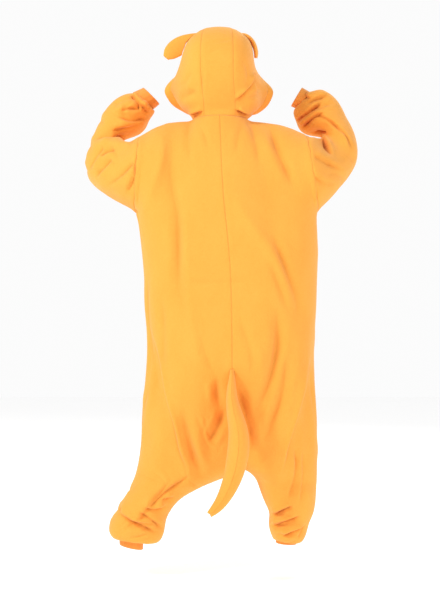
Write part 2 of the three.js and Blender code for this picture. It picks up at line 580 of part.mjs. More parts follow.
function foldDepth(point, fold) {
  const { distance, offset, end } = toPath(point.x, point.z, fold.path);
  if (fold.kind === 'press') return -fold.depth * Math.exp(-((distance / fold.width) ** 2));
  const beyond = -offset * fold.side;
  const reach = THREE.MathUtils.smoothstep(beyond, -fold.width / 2, fold.width / 2);
  const fade = 1 - THREE.MathUtils.smoothstep(beyond, STEP_FADE.from, STEP_FADE.to);
  return -fold.depth * reach * fade * (end ? Math.exp(-((distance / STEP_FADE.end) ** 2)) : 1);
}

function pressFolds() {
  sewn.forEach((vertex) => {
    const facing = THREE.MathUtils.smoothstep(-vertex.normal.y, 0.15, 0.5);
    const folds = FOLDS.filter(({ on }) => [...vertex.panels].every((name) => name.startsWith(on)));
    const depth = folds.reduce((sum, fold) => sum + foldDepth(vertex.point, fold), 0);
    vertex.shift = vertex.normal.clone().multiplyScalar(depth * facing);
  });
  sewn.forEach((vertex) => vertex.point.add(vertex.shift));
}

// Each column of the body is evened out from top to bottom, short of the armholes and of the leg ends.
function evenOut(rounds) {
  const lastRow = YOKE_ROWS + TORSO.length + FORK.length + 3;
  for (let round = 0; round < rounds; round += 1) {
    const moves = new Map();
    panels.filter(({ name }) => name.startsWith('body')).forEach(({ ids }) => {
      for (let r = 1; r < lastRow; r += 1) {
        ids[r].forEach((vertex, c) => {
          if ([...vertex.panels].some((name) => !name.startsWith('body'))) return;
          const middle = ids[r - 1][c].point.clone().add(ids[r + 1][c].point).multiplyScalar(0.5);
          moves.set(vertex, vertex.point.clone().lerp(middle, 0.5));
        });
      }
    });
    moves.forEach((point, vertex) => vertex.point.copy(point));
  }
}

sewPanels();
evenOut(EVENING_ROUNDS);
findNormals();
pressFolds();
findNormals();

// How far a point on a panel's edge draws back from the seam.
function drawBack(ids, r, c) {
  const { point, normal } = ids[r][c];
  const lastRow = ids.length - 1;
  const lastColumn = ids[0].length - 1;
  const move = V(0, 0, 0);
  const away = (before, after, inside) => {
    const along = after.point.clone().sub(before.point).normalize();
    const inward = normal.clone().cross(along).normalize();
    if (inward.dot(inside.point.clone().sub(point)) < 0) inward.negate();
    move.addScaledVector(inward, SEAM_GAP * 0.65);
  };
  const up = Math.max(r - 1, 0);
  const down = Math.min(r + 1, lastRow);
  const before = Math.max(c - 1, 0);
  const after = Math.min(c + 1, lastColumn);
  if (c === 0) away(ids[up][c], ids[down][c], ids[r][1]);
  if (c === lastColumn) away(ids[up][c], ids[down][c], ids[r][lastColumn - 1]);
  if (r === 0) away(ids[r][before], ids[r][after], ids[1][c]);
  if (r === lastRow) away(ids[r][before], ids[r][after], ids[lastRow - 1][c]);
  return move;
}

// A closed wall from a grid: layers gives the distances of its inner and outer face along the normals.
function wallGeometry(ids, turned, inner, outer, gap = true) {
  const rows = ids.length;
  const columns = ids[0].length;
  const positions = [];
  [outer, inner].forEach((offset) => ids.forEach((row, r) => row.forEach((vertex, c) => {
    const at = vertex.point.clone().addScaledVector(vertex.normal, offset);
    if (gap) at.add(drawBack(ids, r, c));
    positions.push(at.x, at.y, at.z);
  })));
  const index = [];
  const id = (layer, r, c) => (layer * rows + r) * columns + c;
  const triangle = (a, b, c) => (turned ? index.push(a, c, b) : index.push(a, b, c));
  const quad = (a, b, c, d) => {
    triangle(a, b, c);
    triangle(a, c, d);
  };
  // The shorter diagonal parts each face, so that a piece lying on a panel is parted as the panel is.
  for (let r = 0; r + 1 < rows; r += 1) {
    for (let c = 0; c + 1 < columns; c += 1) {
      const falling = ids[r][c].point.distanceTo(ids[r + 1][c + 1].point);
      const rising = ids[r + 1][c].point.distanceTo(ids[r][c + 1].point);
      const [a, b, d, e] = [[r, c], [r + 1, c], [r + 1, c + 1], [r, c + 1]];
      const corners = falling <= rising ? [a, b, d, e] : [b, d, e, a];
      quad(...corners.map(([row, column]) => id(0, row, column)));
      quad(...[0, 3, 2, 1].map((k) => id(1, ...corners[k])));
    }
  }
  // The rim too is parted along the shorter diagonal, so that two rims at a twisted seam match.
  const rim = (from, to) => {
    const [p, q] = [from, to].map(([r, c]) => ids[r][c]);
    const across = (sign) => p.point.clone().addScaledVector(p.normal, sign)
      .distanceTo(q.point.clone().addScaledVector(q.normal, -sign));
    const corners = [id(0, ...from), id(0, ...to), id(1, ...to), id(1, ...from)];
    if (across(1) > across(-1)) corners.push(corners.shift());
    quad(...corners);
  };
  for (let c = 0; c + 1 < columns; c += 1) {
    rim([0, c], [0, c + 1]);
    rim([rows - 1, c + 1], [rows - 1, c]);
  }
  for (let r = 0; r + 1 < rows; r += 1) {
    rim([r + 1, 0], [r, 0]);
    rim([r, columns - 1], [r + 1, columns - 1]);
  }
  const geometry = new THREE.BufferGeometry();
  geometry.setAttribute('position', new THREE.Float32BufferAttribute(positions, 3));
  geometry.setIndex(index);
  return geometry;
}

function toSolid(geometry) {
  const bare = geometry.clone();
  ['normal', 'uv'].forEach((name) => bare.deleteAttribute(name));
  const merged = mergeVertices(bare, 1e-4);
  const mesh = new wasm.Mesh({
    numProp: 3,
    vertProperties: Float32Array.from(merged.attributes.position.array),
    triVerts: Uint32Array.from(merged.index.array),
  });
  mesh.merge();
  return new wasm.Manifold(mesh);
}

function toGeometry(solid) {
  const mesh = solid.getMesh();
  const geometry = new THREE.BufferGeometry();
  geometry.setAttribute('position', new THREE.Float32BufferAttribute(mesh.vertProperties, 3));
  geometry.setIndex(new THREE.BufferAttribute(mesh.triVerts, 1));
  return geometry;
}

const costume = new THREE.Group();
const cloth = (colour, roughness = 0.95) => new THREE.MeshStandardMaterial({ color: colour, roughness, metalness: 0 });

function addMesh(name, geometry, material) {
  geometry.computeVertexNormals();
  const mesh = new THREE.Mesh(geometry, material);
  mesh.name = name;
  costume.add(mesh);
}

panels.forEach(({ name, ids, turned, wall, colour }) => {
  addMesh(name, wallGeometry(ids, turned, -wall / 2, wall / 2), cloth(colour));
});

// A stuffed piece is two sewn halves. Each station gives an oval; across is its long way and thick the
// way from one half to the other. The halves part along the middle.
function stuffedHalf(stations, upper, squareness = 2) {
  const steps = 8;
  const positions = [];
  const index = [];
  const rings = stations.map((station) => {
    const first = positions.length / 3;
    for (let i = 0; i <= steps; i += 1) {
      const turn = (i / steps) * Math.PI;
      const wide = Math.sign(Math.cos(turn)) * Math.abs(Math.cos(turn)) ** (2 / squareness) * station.half;
      const high = SEAM_GAP * 0.6 + Math.sin(turn) ** (2 / squareness) * station.thick;
      const at = station.at.clone().addScaledVector(station.across, wide)
        .addScaledVector(station.up, upper ? high : -high);
      positions.push(at.x, at.y, at.z);
    }
    return first;
  });
  const size = steps + 1;
  const along = stations[1].at.clone().sub(stations[0].at);
  const handed = along.cross(stations[0].up).dot(stations[0].across) > 0;
  const face = (a, b, c) => (upper === handed ? index.push(a, b, c) : index.push(a, c, b));
  rings.slice(1).forEach((next, k) => {
    const here = rings[k];
    for (let i = 0; i < size; i += 1) {
      const j = (i + 1) % size;
      face(here + i, next + i, next + j);
      face(here + i, next + j, here + j);
    }
  });
  const cap = (first, flip) => {
    for (let i = 1; i + 1 < size; i += 1) {
      if (flip) face(first, first + i + 1, first + i);
      else face(first, first + i, first + i + 1);
    }
  };
  cap(rings[0], false);
  cap(rings[rings.length - 1], true);
  const geometry = new THREE.BufferGeometry();
  geometry.setAttribute('position', new THREE.Float32BufferAttribute(positions, 3));
  geometry.setIndex(index);
  return geometry;
}

// A slab that follows a panel's outer face and reaches inwards, to fit a stuffed piece to the cloth.
function slabBehind(panelName, { firstRow, lastRow, reach }) {
  const panel = panels.find(({ name }) => name === panelName);
  const ids = panel.ids.slice(firstRow, lastRow);
  return toSolid(wallGeometry(ids, panel.turned, -reach, panel.wall / 2 + SEAM_GAP, false));
}

// Ears
['left', 'right'].forEach((side) => {
  const stations = EAR[side].map(({ at, across, half, thick }, i, all) => {
    const along = toVector(all[Math.min(i + 1, all.length - 1)].at).sub(toVector(all[Math.max(i - 1, 0)].at)).normalize();
    const wide = toVector(across).normalize();
    wide.addScaledVector(along, -wide.dot(along)).normalize();
    const up = along.clone().cross(wide).normalize().multiplyScalar(side === 'left' ? -1 : 1);
    return { at: toVector(at), across: wide, up, half, thick };
  });
  const hood = slabBehind(`hood_side_${side}`, EAR_SEAT);
  [['outer', true], ['inner', false]].forEach(([layer, upper]) => {
    const half = toSolid(stuffedHalf(stations, upper));
    const cut = half.subtract(hood).decompose().sort((a, b) => b.volume() - a.volume())[0];
    addMesh(`ear_${side}_${layer}`, toGeometry(cut), cloth(CLOTH_COLOUR));
  });
});

// Tail
const tailStations = TAIL.map(({ at, half, deep }, i, all) => {
  const along = toVector(all[Math.min(i + 1, all.length - 1)].at).sub(toVector(all[Math.max(i - 1, 0)].at)).normalize();
  const across = V(0, 1, 0);
  across.addScaledVector(along, -across.dot(along)).normalize();
  return { at: toVector(at), across, up: along.clone().cross(across).normalize(), half: deep, thick: half };
});
const bodySlab = slabBehind('body_back_left', TAIL_SEAT).add(slabBehind('body_back_right', TAIL_SEAT));
[['tail_half_right', true], ['tail_half_left', false]].forEach(([name, upper]) => {
  const half = toSolid(stuffedHalf(tailStations, upper));
  const cut = half.subtract(bodySlab).decompose().sort((a, b) => b.volume() - a.volume())[0];
  addMesh(name, toGeometry(cut), cloth(CLOTH_COLOUR));
});

// Front placket over the centre front seam, and its buttons.
const frontLeft = panels.find(({ name }) => name === 'body_front_left').ids;
const frontRight = panels.find(({ name }) => name === 'body_front_right').ids;
const seamColumn = frontLeft[0].length - 1;
const placketRows = Array.from({ length: PLACKET.rows }, (_, r) => (
  [frontRight[r][seamColumn - 1], frontLeft[r][seamColumn], frontLeft[r][seamColumn - 1]]));
// Its top stays clear of the neck seam.
placketRows[0] = placketRows[0].map((vertex, c) => ({
  point: vertex.point.clone().lerp(placketRows[1][c].point, 0.2),
  normal: vertex.normal.clone().lerp(placketRows[1][c].normal, 0.2).normalize(),
}));
const placketFoot = CLOTH / 2 + SEAM_GAP;
const placketTop = placketFoot + PLACKET.thick;
addMesh('front_placket', wallGeometry(placketRows, false, placketFoot, placketTop, false), cloth(CLOTH_COLOUR));

function buttonGeometry() {
  const { radius, thick, rim, dish, sides } = BUTTON;
  const profile = [
    [0, 0], [radius, 0], [radius, thick - dish], [radius - rim, thick], [radius - 2 * rim, thick - dish],
    [0, thick - dish],
  ].map(([r, h]) => new THREE.Vector2(r, h));
  const geometry = new THREE.LatheGeometry(profile, sides);
  return toGeometry(toSolid(geometry));
}
for (let i = 0; i < BUTTON.count; i += 1) {
  const { point, normal } = placketRows[BUTTON.firstRow + i * BUTTON.everyRows][1];
  const geometry = buttonGeometry();
  geometry.computeVertexNormals();
  const button = new THREE.Mesh(geometry, cloth(BUTTON_COLOUR, 0.4));
  button.name = `button_${i + 1}`;
  button.position.copy(point).addScaledVector(normal, placketTop + SEAM_GAP);
  button.quaternion.setFromUnitVectors(V(0, 1, 0), normal);
  costume.add(button);
}

export default costume;
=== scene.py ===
# %% [markdown]
# A kangaroo costume seen from behind: a roomy fleece onesie with a hood, floppy ears and a stuffed
# tail, hollow, with the pose that it was worn in. The solid model gives every panel its place and its
# large form. The panels could be modelled one by one, but their seams would never quite meet. So this
# lesson sews them into one smooth skin, presses the creases in, parts the skin into its panels again and
# gives each one the look of brushed fleece.

# %% Load the frame
import math

import bmesh
import bpy
import numpy as np
from mathutils import Matrix, Vector
from mathutils.kdtree import KDTree


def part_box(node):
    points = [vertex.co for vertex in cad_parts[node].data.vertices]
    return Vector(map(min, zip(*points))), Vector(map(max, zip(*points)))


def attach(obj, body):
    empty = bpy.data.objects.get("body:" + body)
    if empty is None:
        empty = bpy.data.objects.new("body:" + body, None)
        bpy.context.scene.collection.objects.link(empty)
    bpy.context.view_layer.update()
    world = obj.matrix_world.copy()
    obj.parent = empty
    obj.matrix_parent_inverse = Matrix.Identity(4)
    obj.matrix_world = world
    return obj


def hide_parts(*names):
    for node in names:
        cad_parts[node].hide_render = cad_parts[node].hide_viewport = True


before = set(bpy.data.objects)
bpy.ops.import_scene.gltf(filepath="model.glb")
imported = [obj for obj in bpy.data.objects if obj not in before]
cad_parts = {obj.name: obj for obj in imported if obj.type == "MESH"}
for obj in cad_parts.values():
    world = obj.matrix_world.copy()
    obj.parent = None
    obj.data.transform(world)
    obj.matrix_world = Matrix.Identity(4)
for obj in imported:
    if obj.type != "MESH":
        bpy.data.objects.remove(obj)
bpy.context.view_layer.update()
MM = 0.001
LEVELS = 3

# %% [markdown]
# The camera comes first, because every crease is judged from it. It stands level with the middle of
# the costume, four and a half metres off, and its lens is long, so the legs don't splay. One lamp is
# stronger than the rest, because a crease shows only where light comes from one side. For the same reason
# the world lights the cloth a little less than the near white that the camera sees of it, and the floor
# glows a little to match.

# %% Camera, floor and light
EYE = Vector((0, -4.51, -0.578))
FLOOR_Z = -1.453
WORLD_LIGHT = 0.70
WORLD_SEEN = 0.97
FLOOR_GLOW = 0.28

camera = bpy.data.objects.new("camera", bpy.data.cameras.new("camera"))
camera.data.lens = 85
camera.data.sensor_width = 36
camera.location = EYE
camera.rotation_euler = (math.radians(90), 0, 0)
bpy.context.scene.collection.objects.link(camera)
bpy.context.scene.camera = camera


def area_light(name, place, target, size, power, colour=(1, 1, 1)):
    light = bpy.data.lights.new(name, "AREA")
    light.size = size
    light.energy = power
    light.color = colour
    lamp = bpy.data.objects.new(name, light)
    lamp.location = place
    lamp.rotation_euler = (Vector(target) - Vector(place)).to_track_quat("-Z", "Y").to_euler()
    bpy.context.scene.collection.objects.link(lamp)
    return lamp


lamps = [
    area_light("key", (-3.0, -2.2, 2.2), (0, 0, -0.55), 0.9, 115, (1, 0.98, 0.95)),
    area_light("fill", (3.2, -3.2, 0.0), (0, 0, -0.6), 2.4, 42),
    area_light("front", (1.2, 3.0, 1.8), (0, 0, -0.4), 2.0, 60),
]
world = bpy.data.worlds.new("studio")
world.use_nodes = True
sky = world.node_tree.nodes["Background"]
sky.inputs["Color"].default_value = (1, 1, 1, 1)
seen = world.node_tree.nodes.new("ShaderNodeLightPath")
strength = world.node_tree.nodes.new("ShaderNodeMapRange")
strength.inputs["To Min"].default_value = WORLD_LIGHT
strength.inputs["To Max"].default_value = WORLD_SEEN
world.node_tree.links.new(seen.outputs["Is Camera Ray"], strength.inputs["Value"])
world.node_tree.links.new(strength.outputs["Result"], sky.inputs["Strength"])
bpy.context.scene.world = world
bpy.context.scene.view_settings.view_transform = "Standard"

floor_form = bmesh.new()
bmesh.ops.create_grid(floor_form, x_segments=1, y_segments=1, size=8)
bmesh.ops.translate(floor_form, verts=floor_form.verts, vec=(0, 0, FLOOR_Z))
floor_mesh = bpy.data.meshes.new("floor")
floor_form.to_mesh(floor_mesh)
floor = bpy.data.objects.new("floor", floor_mesh)
bpy.context.scene.collection.objects.link(floor)
print("lamps:", [lamp.name for lamp in lamps])

# %% [markdown]
# Shader sums read like arithmetic when a small class wraps a socket: an expression such as
# 1 - nap * 0.2 adds the Math nodes that it needs.

# %% Sockets that can be added and multiplied


class Flow:
    """A number that flows through a material, or the node that gives it."""

    def __init__(self, tree, socket):
        self.tree = tree
        self.socket = socket

    def math(self, operation, first, second):
        return Flow.node(self.tree, "ShaderNodeMath", {"operation": operation}, {0: first, 1: second})

    @staticmethod
    def node(tree, kind, settings, values, output=0):
        made = tree.nodes.new(kind)
        for name, value in settings.items():
            setattr(made, name, value)
        for name, value in values.items():
            if isinstance(value, Flow):
                tree.links.new(value.socket, made.inputs[name])
            else:
                made.inputs[name].default_value = value
        return Flow(tree, made.outputs[output])

    def __add__(self, other):
        return self.math("ADD", self, other)

    def __radd__(self, other):
        return self.math("ADD", other, self)

    def __sub__(self, other):
        return self.math("SUBTRACT", self, other)

    def __rsub__(self, other):
        return self.math("SUBTRACT", other, self)

    def __mul__(self, other):
        return self.math("MULTIPLY", self, other)

    def __rmul__(self, other):
        return self.math("MULTIPLY", other, self)


def new_material(name):
    material = bpy.data.materials.new(name)
    material.use_nodes = True
    tree = material.node_tree
    return material, tree, tree.nodes["Principled BSDF"]


def noise(tree, scale, detail=2.0, stretch=(1, 1, 1)):
    place = Flow.node(tree, "ShaderNodeTexCoord", {}, {}, "Object")
    laid = Flow.node(tree, "ShaderNodeMapping", {}, {"Vector": place, "Scale": stretch})
    return Flow.node(tree, "ShaderNodeTexNoise", {}, {"Vector": laid, "Scale": scale, "Detail": detail})


def blend(tree, share, dark, light):
    mix = tree.nodes.new("ShaderNodeMix")
    mix.data_type = "RGBA"
    tree.links.new(share.socket, mix.inputs["Factor"])
    for socket, colour in ((mix.inputs[6], dark), (mix.inputs[7], light)):
        if isinstance(colour, Flow):
            tree.links.new(colour.socket, socket)
        else:
            socket.default_value = (*colour, 1)
    return Flow(tree, mix.outputs[2])


# %% [markdown]
# Brushed fleece is matt, with a soft bright edge where its nap stands up against the light: that is
# sheen. The nap could be grown as hair, but it is under a millimetre long, so colour and relief broken up
# at three scales show it as well. The seam attribute, the distance to the nearest seam, paints a little
# shade into the colour along each seam's valley. Deep in a crease, shade and the light bounced from orange
# to orange are painted in: an attribute of the creases turns the colour darker and redder there. The
# buttons are moulded plastic, sewn on with a paler thread, and their holes are dark discs that paint the
# shade in them.

# %% Fleece, rib knit and buttons
FLEECE_DARK = (0.84, 0.325, 0.04)
FLEECE_LIGHT = (1.0, 0.45, 0.08)
# Painted shade: the colour deep in a crease, darker and redder, as light bounced from orange to orange.
FLEECE_CREASE_SHADE = (0.60, 0.10, 0.01)
# Painted shade: the colour a little darker in the narrow valley along each seam.
FLEECE_SEAM_SHADE = tuple(v * 0.6 for v in FLEECE_DARK)
SEAM_SHADE_REACH = 0.003
NAP_RELIEF = 0.0016
KNIT_DARK = (0.80, 0.27, 0.04)
KNIT_LIGHT = (0.95, 0.39, 0.08)
KNIT_RELIEF = 0.0006


def fleece():
    material, tree, skin = new_material("brushed fleece")
    clumps = noise(tree, 260, 3)
    patches = noise(tree, 16, 3, (1, 1, 0.6))
    fibres = noise(tree, 900, 2, (1, 1, 0.35))
    share = clumps * 0.5 + patches * 0.35 + fibres * 0.25 - 0.05
    # Painted shade: this attribute darkens and reddens the colour deep in the creases.
    painted_crease_shade = Flow.node(tree, "ShaderNodeAttribute", {"attribute_name": "painted_crease_shade"}, {}, "Fac")
    seam = Flow.node(tree, "ShaderNodeAttribute", {"attribute_name": "seam"}, {}, "Fac")
    # Painted shade along the seams, within a few millimetres of each.
    seam_shade = Flow.node(
        tree, "ShaderNodeMapRange", {"clamp": True},
        {"Value": seam, "From Min": 0.0, "From Max": SEAM_SHADE_REACH, "To Min": 0.92, "To Max": 1.0})
    colour = blend(tree, painted_crease_shade, blend(tree, share, FLEECE_DARK, FLEECE_LIGHT), FLEECE_CREASE_SHADE)
    tint = blend(tree, seam_shade, FLEECE_SEAM_SHADE, colour)
    tree.links.new(tint.socket, skin.inputs["Base Color"])
    height = clumps * 0.6 + fibres * 0.3 + noise(tree, 60, 3) * 1.2
    bump = Flow.node(
        tree, "ShaderNodeBump", {}, {"Height": height, "Strength": 0.8, "Distance": NAP_RELIEF}, "Normal")
    tree.links.new(bump.socket, skin.inputs["Normal"])
    skin.inputs["Roughness"].default_value = 0.92
    skin.inputs["Specular IOR Level"].default_value = 0.15
    skin.inputs["Sheen Weight"].default_value = 0.35
    skin.inputs["Sheen Roughness"].default_value = 0.5
    skin.inputs["Sheen Tint"].default_value = (1.0, 0.78, 0.5, 1)
    return material


def rib_knit():
    material, tree, skin = new_material("rib knit")
    share = noise(tree, 500, 2) * 0.6 + noise(tree, 40, 2) * 0.4
    colour = blend(tree, share, KNIT_DARK, KNIT_LIGHT)
    tree.links.new(colour.socket, skin.inputs["Base Color"])
    height = noise(tree, 800, 2)
    bump = Flow.node(
        tree, "ShaderNodeBump", {}, {"Height": height, "Strength": 0.4, "Distance": KNIT_RELIEF}, "Normal")
    tree.links.new(bump.socket, skin.inputs["Normal"])
    skin.inputs["Roughness"].default_value = 0.88
    skin.inputs["Specular IOR Level"].default_value = 0.2
    skin.inputs["Sheen Weight"].default_value = 0.2
    return material


def moulded(name, colour, roughness):
    material, tree, skin = new_material(name)
    share = noise(tree, 120, 2)
    tint = blend(tree, share, tuple(v * 0.86 for v in colour), colour)
    tree.links.new(tint.socket, skin.inputs["Base Color"])
    rough = share * 0.12 + roughness
    tree.links.new(rough.socket, skin.inputs["Roughness"])
    return material


FLEECE = fleece()
RIB = rib_knit()
BUTTON = moulded("button plastic", (0.80, 0.28, 0.04), 0.3)
THREAD = moulded("button thread", (0.98, 0.55, 0.16), 0.8)
# Painted shade: the holes are not cut, and this dark colour stands for the shade inside them.
HOLE_SHADE = moulded("button hole shade", (0.30, 0.08, 0.01), 0.9)
floor_material, _, floor_skin = new_material("pale floor")
floor_skin.inputs["Base Color"].default_value = (0.93, 0.93, 0.93, 1)
floor_skin.inputs["Roughness"].default_value = 0.7
floor_skin.inputs["Emission Color"].default_value = (1, 1, 1, 1)
floor_skin.inputs["Emission Strength"].default_value = FLOOR_GLOW
floor.data.materials.append(floor_material)
print("materials:", [material.name for material in (FLEECE, RIB, BUTTON, THREAD, HOLE_SHADE)])

# %% [markdown]
# A CAD panel is a closed wall: an outer face, an inner face and a thin rim. The skin needs only the
# outer face, so the rim's faces go, which have an edge as short as the cloth is thick, and of the two
# sheets left the larger is kept, because the outer side of a rounded form is the larger one.

# %% The outer face of each panel
RIM = 3.4 * MM
SAME_POINT = 1e-5
SMALLEST_SHEET = 8
ANY_ANGLE = 3.1


def sheets_of(form):
    left = set(form.faces)
    while left:
        queue = [left.pop()]
        sheet = list(queue)
        while queue:
            for edge in queue.pop().edges:
                for face in edge.link_faces:
                    if face in left:
                        left.remove(face)
                        queue.append(face)
                        sheet.append(face)
        yield sheet


def outer_face(node, outward_from=None):
    form = bmesh.new()
    form.from_mesh(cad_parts[node].data)
    bmesh.ops.remove_doubles(form, verts=form.verts, dist=SAME_POINT)
    rim = [f for f in form.faces if min(e.calc_length() for e in f.edges) < RIM]
    bmesh.ops.delete(form, geom=rim, context="FACES")

    def facing(sheet):
        if outward_from is None:
            return sum(f.calc_area() for f in sheet)
        return sum(f.normal.dot(f.calc_center_median() - outward_from) * f.calc_area() for f in sheet)

    keep = set(max((s for s in sheets_of(form) if len(s) > SMALLEST_SHEET), key=facing))
    bmesh.ops.delete(form, geom=[f for f in form.faces if f not in keep], context="FACES")
    bmesh.ops.join_triangles(
        form, faces=form.faces, angle_face_threshold=ANY_ANGLE, angle_shape_threshold=ANY_ANGLE)
    return form


# %% [markdown]
# The outer faces lie a hair apart at the seams. Merging points that are nearer than the seam gap sews
# them into one skin, so that it can be smoothed across its seams. Each face remembers its panel, and
# the neck seam and the band's seam stay crisp with a crease.

# %% Sew the panels into one skin
PANELS = [
    "body_back_left", "body_back_right", "body_front_left", "body_front_right", "sleeve_left",
    "sleeve_right", "hood_side_left", "hood_side_right", "hood_centre_strip", "hood_edge_band",
]
SEAM_REACH = 0.75 * MM
HOOD_MIDDLE = Vector((0, 0, 0.14))
NECK_CREASE = 0.9
BAND_CREASE = 0.45

skin = bmesh.new()
panel_layer = skin.faces.layers.int.new("panel")
for number, node in enumerate(PANELS):
    form = outer_face(node, HOOD_MIDDLE if node == "hood_edge_band" else None)
    sheet = bpy.data.meshes.new(node)
    form.to_mesh(sheet)
    before = set(skin.faces)
    skin.from_mesh(sheet)
    panel_layer = skin.faces.layers.int["panel"]
    for face in skin.faces:
        if face not in before:
            face[panel_layer] = number
    bpy.data.meshes.remove(sheet)
bmesh.ops.remove_doubles(skin, verts=skin.verts, dist=SEAM_REACH)
crease = skin.edges.layers.float.new("crease_edge")


def panels_at(edge):
    return {PANELS[face[panel_layer]] for face in edge.link_faces}


for edge in skin.edges:
    names = panels_at(edge)
    if any(n.startswith("hood") for n in names) and any(n.startswith("body") for n in names):
        edge[crease] = NECK_CREASE
    elif len(names) > 1 and "hood_edge_band" in names:
        edge[crease] = BAND_CREASE
open_edges = sum(len(e.link_faces) == 1 for e in skin.edges)
print("skin:", len(skin.faces), "faces,", open_edges, "open edges")

# %% [markdown]
# The front opening is closed by a placket, a strip over the centre front seam. Its faces are marked
# now, while the seam's own points are easy to find, and used once the creases are in.

# %% Mark the placket's faces
placket_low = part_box("front_placket")[0].z
placket_layer = skin.faces.layers.int.new("placket")
panel_layer = skin.faces.layers.int["panel"]
FRONTS = {PANELS.index("body_front_left"), PANELS.index("body_front_right")}
front_seam = [
    e for e in skin.edges
    if {f[panel_layer] for f in e.link_faces} == FRONTS
    and min(v.co.z for v in e.verts) > placket_low - 5 * MM]
for edge in front_seam:
    for face in edge.link_faces:
        face[placket_layer] = 1
print("placket:", sum(f[placket_layer] for f in skin.faces), "faces")

# %% [markdown]
# Cloth has no facets. Subdivision rounds the whole skin at once, so neighbouring panels share their
# points along each seam and no slit opens between them. The result is read into arrays, because the
# creases are worked out for all points together.

# %% Smooth the skin
skin_mesh = bpy.data.meshes.new("skin")
skin.to_mesh(skin_mesh)
skin_object = bpy.data.objects.new("skin", skin_mesh)
bpy.context.scene.collection.objects.link(skin_object)
smoothing = skin_object.modifiers.new("smoothing", "SUBSURF")
smoothing.levels = smoothing.render_levels = LEVELS
smooth_mesh = bpy.data.meshes.new_from_object(
    skin_object.evaluated_get(bpy.context.evaluated_depsgraph_get()))
bpy.data.objects.remove(skin_object)


def read(mesh, kind, name, width, store):
    values = np.empty(len(getattr(mesh, kind)) * width, store)
    getattr(mesh, kind).foreach_get(name, values)
    return values.reshape(-1, width) if width > 1 else values


points = read(smooth_mesh, "vertices", "co", 3, np.float32).astype(float)
panel_of_face = np.empty(len(smooth_mesh.polygons), np.int32)
smooth_mesh.attributes["panel"].data.foreach_get("value", panel_of_face)
print("smooth skin:", len(points), "points")


def normals_now():
    smooth_mesh.vertices.foreach_set("co", points.astype(np.float32).ravel())
    smooth_mesh.update()
    values = np.empty(len(points) * 3, np.float32)
    smooth_mesh.vertex_normals.foreach_get("vector", values)
    return values.reshape(-1, 3).astype(float)


# %% [markdown]
# A seam pulls the cloth down into a narrow valley and puckers it. The distance from each point to the
# nearest seam shapes that valley, and is kept as an attribute, with which the material paints a little
# shade along it.

# %% Find the seams
corner_vertex = read(smooth_mesh, "loops", "vertex_index", 1, np.int32)
corner_count = read(smooth_mesh, "polygons", "loop_total", 1, np.int32)
corner_panel = np.repeat(panel_of_face, corner_count)
lowest = np.full(len(points), 99)
highest = np.full(len(points), -1)
np.minimum.at(lowest, corner_vertex, corner_panel)
np.maximum.at(highest, corner_vertex, corner_panel)
seam_points = np.flatnonzero(lowest != highest)
tree = KDTree(len(seam_points))
for i in seam_points:
    tree.insert(points[i], int(i))
tree.balance()
seam_distance = np.array([tree.find(p)[2] for p in points])
print("seam points:", len(seam_points))

# %% [markdown]
# A cloth simulation would crease the fleece somewhere, but not where it was worn into creases. So they
# are listed in short tables. Those on the back are placed where the camera sees them, in millimetres on
# the upright plane through the origin. Each is a soft trough with low shoulders, a ridge, a step where
# cloth hangs over cloth, or a tuck, a crisp fold that overlaps itself. Its path fades at both ends and
# wanders in depth.

# %% Crease tables
BACK_TROUGHS = [
    # depth, width, path as x and z
    (9, 10, [(157, -22), (192, -125), (218, -176), (236, -222)]),
    (7, 12, [(-150, -64), (-160, -198), (-138, -294), (-134, -422), (-134, -528), (-115, -646)]),
    (8, 11, [(166, -368), (224, -518), (250, -589), (246, -640)]),
    (6, 10, [(150, -448), (186, -528), (214, -605), (234, -646)]),
    (11, 13, [(182, -605), (186, -733), (166, -829), (134, -902), (112, -952)]),
    (9, 12, [(214, -742), (202, -877), (166, -982), (134, -1046)]),
    (11, 11, [(-122, -934), (-106, -1021), (-86, -1085), (-56, -1156)]),
    (9, 10, [(-10, -822), (-12, -886), (6, -938)]),
    (10, 11, [(16, -928), (-10, -998), (-38, -1046)]),
    (11, 11, [(51, -854), (74, -925), (93, -992), (112, -1078)]),
    (3, 7, [(-112, -525), (20, -520), (96, -522)]),
    (4, 9, [(60, -640), (104, -760), (96, -850)]),
    (3, 8, [(-60, -700), (-40, -780), (-8, -830)]),
    (4, 9, [(-190, -560), (-176, -700), (-190, -820)]),
    (3, 8, [(-67, -22), (-45, -61), (-40, -110)]),
    (3, 8, [(74, -16), (58, -64), (50, -120)]),
    (4, 9, [(100, -14), (118, -90), (124, -150)]),
    (3, 8, [(-96, -14), (-104, -80), (-96, -150)]),
]
BACK_RIDGES = [
    (5, 16, [(-112, -288), (-102, -582), (-74, -742), (-70, -816)]),
    (6, 18, [(42, -262), (106, -352), (192, -464), (227, -550)]),
    (5, 14, [(-182, -48), (-186, -141), (-218, -230), (-234, -301)]),
    (4, 14, [(120, -700), (140, -820), (120, -930)]),
]
# A step sinks what lies beyond it, to the right for 1 and to the left for -1.
BACK_STEPS = [
    (15, 5, 1, [(291, -749), (278, -848), (250, -957), (234, -1008), (214, -1078), (195, -1152)]),
    (15, 5, -1, [(-224, -653), (-202, -742), (-182, -848), (-170, -909), (-144, -992), (-128, -1078),
                (-106, -1117), (-102, -1184)]),
]
